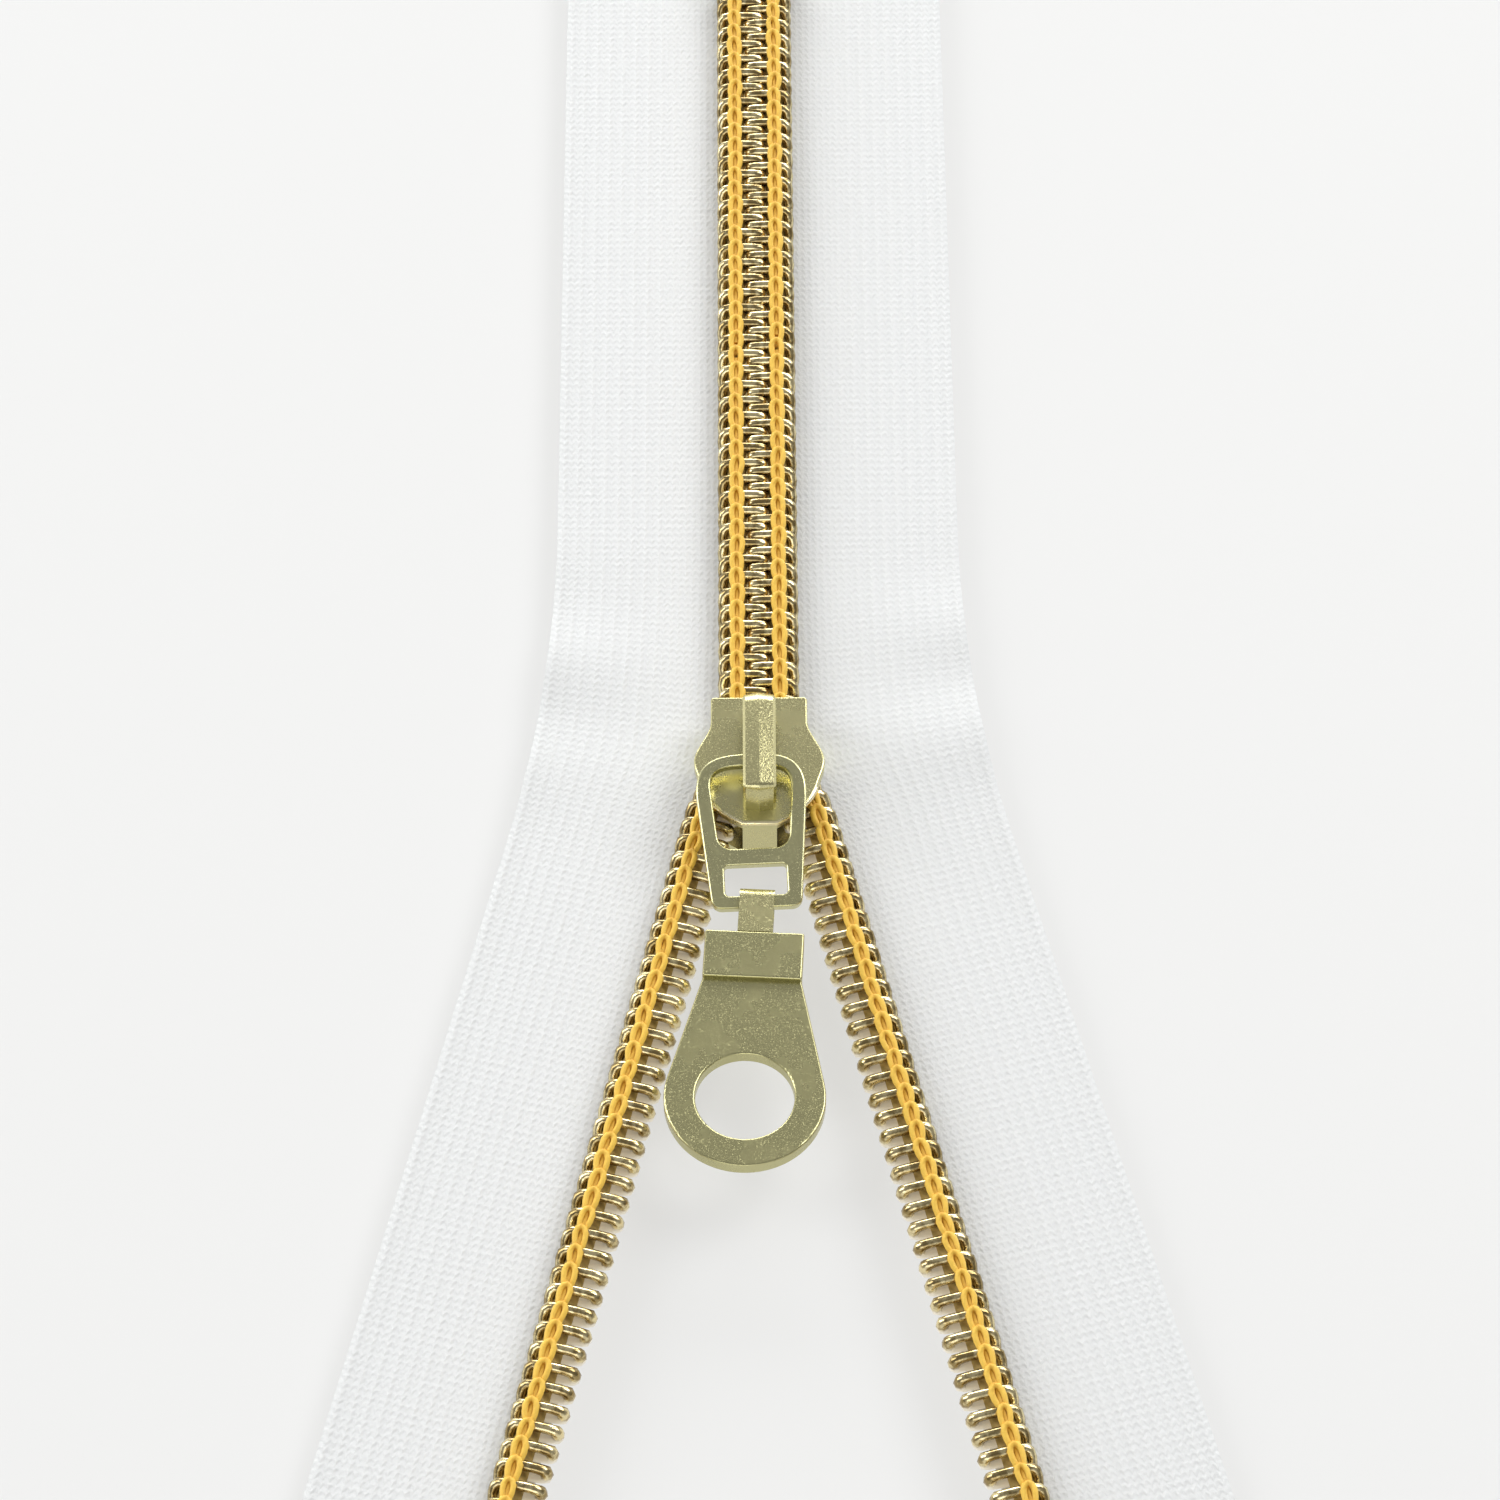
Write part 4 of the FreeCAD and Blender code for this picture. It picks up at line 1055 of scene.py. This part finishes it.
@dataclass
class Bridge:
    """The slider's arched bridge, with a crease along its crown and bevelled sides."""

    smooth_metal: bpy.types.Material
    worn_metal: bpy.types.Material
    bevel: float = 0.22
    shoulder: float = 0.19
    crown: float = 0.15
    rear_bend: float = 1.3
    front_bend: float = 0.35
    inner_bend: float = 0.25
    top_thickness: float = 0.7
    front_leg: float = 1.2
    rear_leg: float = 0.8
    arc_steps: int = 8
    facet_inset: float = 0.02
    least_bend: float = 0.08
    worn_facet: int = 2

    def outline(self, rear: float, front: float, top: float, foot: float,
                radii: tuple[float, float]) -> list[Vector]:
        """A path up one leg, over the top and down the other, in the plane of the slider's length.

        Args:
            rear: the rear leg's place.
            front: the front leg's place.
            top: the path's height.
            foot: the height of its ends.
            radii: the radius of its rear and of its front corner.

        Returns:
            Its points; x is along the slider and y is up.
        """
        quarter = [math.pi / 2.0 * n / self.arc_steps for n in range(self.arc_steps + 1)]
        rear_hub = Vector((rear - radii[0], top - radii[0]))
        front_hub = Vector((front + radii[1], top - radii[1]))
        rise = [rear_hub + Vector((math.cos(a), math.sin(a))) * radii[0] for a in quarter]
        fall = [front_hub + Vector((-math.sin(a), math.cos(a))) * radii[1] for a in quarter]
        return [Vector((rear, foot)), *rise, *fall, Vector((front, foot))]

    def build(self) -> None:
        """Make the bridge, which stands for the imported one."""
        low, high = (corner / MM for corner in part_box("bridge_cover"))
        half = high.x

        def outer(inset: float) -> list[Vector]:
            """The outer path, moved in by a distance."""
            radii = (self.rear_bend - inset, max(self.front_bend - inset, self.least_bend))
            return self.outline(high.y - inset, low.y + inset, high.z - inset, low.z, radii)

        inner = self.outline(high.y - self.rear_leg, low.y + self.front_leg,
                             high.z - self.top_thickness, low.z, (self.inner_bend, self.inner_bend))
        edge, facet = outer(self.bevel), outer(self.facet_inset)
        rails = [
            (-half, edge), (-half + self.shoulder, facet), (0.0, outer(-self.crown)),
            (half - self.shoulder, facet), (half, edge), (half, inner), (-half, inner),
        ]
        work = bmesh.new()
        lines = [[work.verts.new((x * MM, p.x * MM, p.y * MM)) for p in path] for x, path in rails]
        for number, line in enumerate(lines):
            other = lines[(number + 1) % len(lines)]
            for step in range(len(line) - 1):
                face = work.faces.new((line[step], line[step + 1], other[step + 1], other[step]))
                face.smooth = True
                face.material_index = int(number == self.worn_facet)
        for step in (0, -1):
            work.faces.new([line[step] for line in lines])
        bmesh.ops.recalc_face_normals(work, faces=work.faces)
        for line in lines:
            for first, second in zip(line, line[1:]):
                work.edges.get((first, second)).smooth = False
        mesh = bpy.data.meshes.new("creased_bridge")
        work.to_mesh(mesh)
        work.free()
        mesh.materials.append(self.smooth_metal)
        mesh.materials.append(self.worn_metal)
        piece = placed_object("creased_bridge", mesh)
        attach(piece, "slider")
        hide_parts("bridge_cover")
        report(piece)


def bead_recipe() -> Recipe:
    """The tree that turns a path into a round bead.

    Returns:
        The recipe.
    """
    recipe = Recipe("rim_bead", "Thickness")
    path = recipe.given.outputs["Geometry"]
    recipe.finish(recipe.tube(path, recipe.size("Thickness"), ROUND_SIDES))
    return recipe


@dataclass
class NoseRim:
    """The rolled edge round the nose of the slider's top plate."""

    metal: bpy.types.Material
    edge_height: float = 4.86
    shoulder_end: float = -1.7
    inset: float = 0.07
    drop: float = 0.08
    thickness: float = 0.21
    tolerance: float = 0.02

    def path(self) -> bpy.types.Mesh:
        """The top plate's own outline round its nose.

        Returns:
            A mesh of edges, in metres.
        """
        corners = {
            (round(v.co.x / MM, 2), round(v.co.y / MM, 2))
            for v in bpy.data.objects["slider_body"].data.vertices
            if abs(v.co.z / MM - self.edge_height) < self.tolerance and v.co.y / MM < self.shoulder_end
        }
        places = []
        height = (self.edge_height - self.drop) * MM
        for x, y in sorted(corners):
            inward = Vector((-x, -y)).normalized() * self.inset
            places.append(((x + inward.x) * MM, (y + inward.y) * MM, height))
        return line_mesh("nose_outline", places)

    def build(self) -> None:
        """Make the bead, which rides on the slider."""
        values = {"Thickness": self.thickness * MM, "Material": self.metal}
        piece = bead_recipe().applied("nose_rim", self.path(), values)
        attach(piece, "slider")
        report(piece)


# --- The studio ---


@dataclass
class Studio:
    """The pale floor, the soft lights and the camera."""

    elevation: float = 57.0
    roll: float = -0.35
    target: tuple[float, float, float] = (-0.68, 2.08, 3.0)
    distance: float = 368.7
    lens: float = 120.0
    floor_half: float = 1500.0
    floor_gap: float = 0.05
    even_glow: float = 0.25
    ahead_glow: float = 0.08
    rear_glow: float = 0.80
    front_glow: float = 0.48

    def floor(self, material: bpy.types.Material) -> None:
        """Lay the floor under the zipper."""
        half = self.floor_half * MM
        mesh = bpy.data.meshes.new("floor")
        low = -self.floor_gap * MM
        corners = [(-half, -half, low), (half, -half, low), (half, half, low), (-half, half, low)]
        mesh.from_pydata(corners, [], [(0, 1, 2, 3)])
        mesh.materials.append(material)
        placed_object("floor", mesh)

    def lamp(self, name: str, place: Vector, size: tuple[float, float], power: float) -> None:
        """Hang a softbox that faces the zipper.

        Args:
            name: its name.
            place: where it hangs, in metres.
            size: its width and height, in metres.
            power: its power, in watts.
        """
        light = bpy.data.lights.new(name, "AREA")
        light.shape = "RECTANGLE"
        light.size, light.size_y = size
        light.energy = power
        lamp = placed_object(name, light)
        lamp.location = place
        lamp.rotation_euler = (-place).to_track_quat("-Z", "Y").to_euler()

    def lights(self) -> None:
        """Set the even surroundings and the softboxes."""
        world = bpy.data.worlds.new("surroundings")
        world.use_nodes = True
        tree = Tree(world.node_tree)
        world.node_tree.nodes.clear()
        _, ahead, above = tree.parts(coordinates(tree, "Generated"))
        low_rear = tree.smooth(ahead, 0.2, 0.95) * (1.0 - tree.smooth(above, 0.25, 0.75))
        low_front = tree.smooth(-ahead, 0.5, 0.9)
        level = self.even_glow + tree.smooth(ahead, -0.5, 0.55) * self.ahead_glow
        level = level + low_rear * self.rear_glow + low_front * self.front_glow
        glow = tree.node("ShaderNodeBackground", None, {"Color": (1.0, 1.0, 1.0, 1.0), "Strength": level})
        tree.node("ShaderNodeOutputWorld", None, {"Surface": glow.outputs[0]})
        bpy.context.scene.world = world
        self.lamp("left_softbox", Vector((-0.9, 0.15, 0.5)), (0.5, 0.9), 5.5)
        self.lamp("right_softbox", Vector((0.75, 0.45, 0.8)), (0.6, 0.6), 6.5)
        self.lamp("front_softbox", Vector((-0.2, -1.0, 0.55)), (0.9, 0.5), 2.0)
        self.lamp("rear_softbox", Vector((0.0, 1.2, 0.45)), (1.4, 0.35), 12.0)
        bpy.context.scene.view_settings.view_transform = "Standard"

    def camera(self) -> None:
        """Stand the camera over the zipper's open end."""
        radians = math.radians(self.elevation)
        look = Vector((0.0, math.cos(radians), -math.sin(radians)))
        data = bpy.data.cameras.new("camera")
        data.lens = self.lens
        data.sensor_width = 36.0
        data.clip_start = 0.01
        data.clip_end = 20.0
        data.dof.use_dof = False
        camera = placed_object("camera", data)
        turn = look.to_track_quat("-Z", "Y").to_matrix()
        roll = Matrix.Rotation(math.radians(self.roll), 3, "Z")
        camera.rotation_euler = (turn @ roll).to_euler()
        camera.location = (Vector(self.target) - look * self.distance) * MM
        bpy.context.scene.camera = camera

    def build(self) -> None:
        """Make the whole studio."""
        self.floor(Backdrop("backdrop").material())
        self.lights()
        self.camera()


# --- The whole zipper ---


def main() -> None:
    """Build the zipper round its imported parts."""
    logging.basicConfig(level=logging.INFO, format="%(name)s %(message)s")
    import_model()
    Studio().build()
    metal = PlatedMetal("pale_gold_plating").material()
    steel = PlatedMetal("spring_steel", (0.6, 0.6, 0.57, 1.0), (0.45, 0.45, 0.43, 1.0)).material()
    worn = PlatedMetal("worn_gold_plating", pitting=0.8, roughness=0.22, grain=0.22).material()
    # A darker, greener copy of the plating for the pull link.
    darker_plating = PlatedMetal("dull_gold_plating", (0.70, 0.67, 0.38, 1.0), (0.54, 0.52, 0.27, 1.0)).material()
    # Painted shade: a darker copy of the same plating, for the less light that the tilted pull plate
    # reflects.
    flat = PlatedMetal("flat_gold_plating", (0.57, 0.54, 0.29, 1.0), (0.45, 0.425, 0.21, 1.0)).material()
    # Painted highlight: a paler copy of the plating, so the nose rim reads as a bright cream line.
    painted_highlight_metal = PlatedMetal("rubbed_gold_edge", (0.96, 0.87, 0.58, 1.0), (0.90, 0.79, 0.46, 1.0)).material()
    Bridge(metal, worn).build()
    NoseRim(painted_highlight_metal).build()
    dress("pull_link", darker_plating)
    dress("pull_plate", flat)
    for node in ("slider_body", "pull_strap", "bottom_stop", "top_stop_left", "top_stop_right"):
        dress(node, metal)
        LOG.info("%s dressed", node)
    dress("lock_pawl", steel)
    finishes = {
        "coil": CoilNylon("metallised_coil").material(),
        "stitches": StitchThread("golden_thread").material(),
        "tape": TapeWeave("white_weave").material(),
        "filler_cord": TwistedCord("filler_twist").material(),
    }
    recipes = {"coil": coil_recipe(), "stitches": stitch_recipe(), "filler_cord": cord_recipe()}
    for side, angle, offset in ((Side.LEFT, 13.7, 0.75), (Side.RIGHT, 14.0, 0.0)):
        Row(SewingLine(side, angle), finishes, recipes, offset=offset).build()


if __name__ == "__main__":
    main()
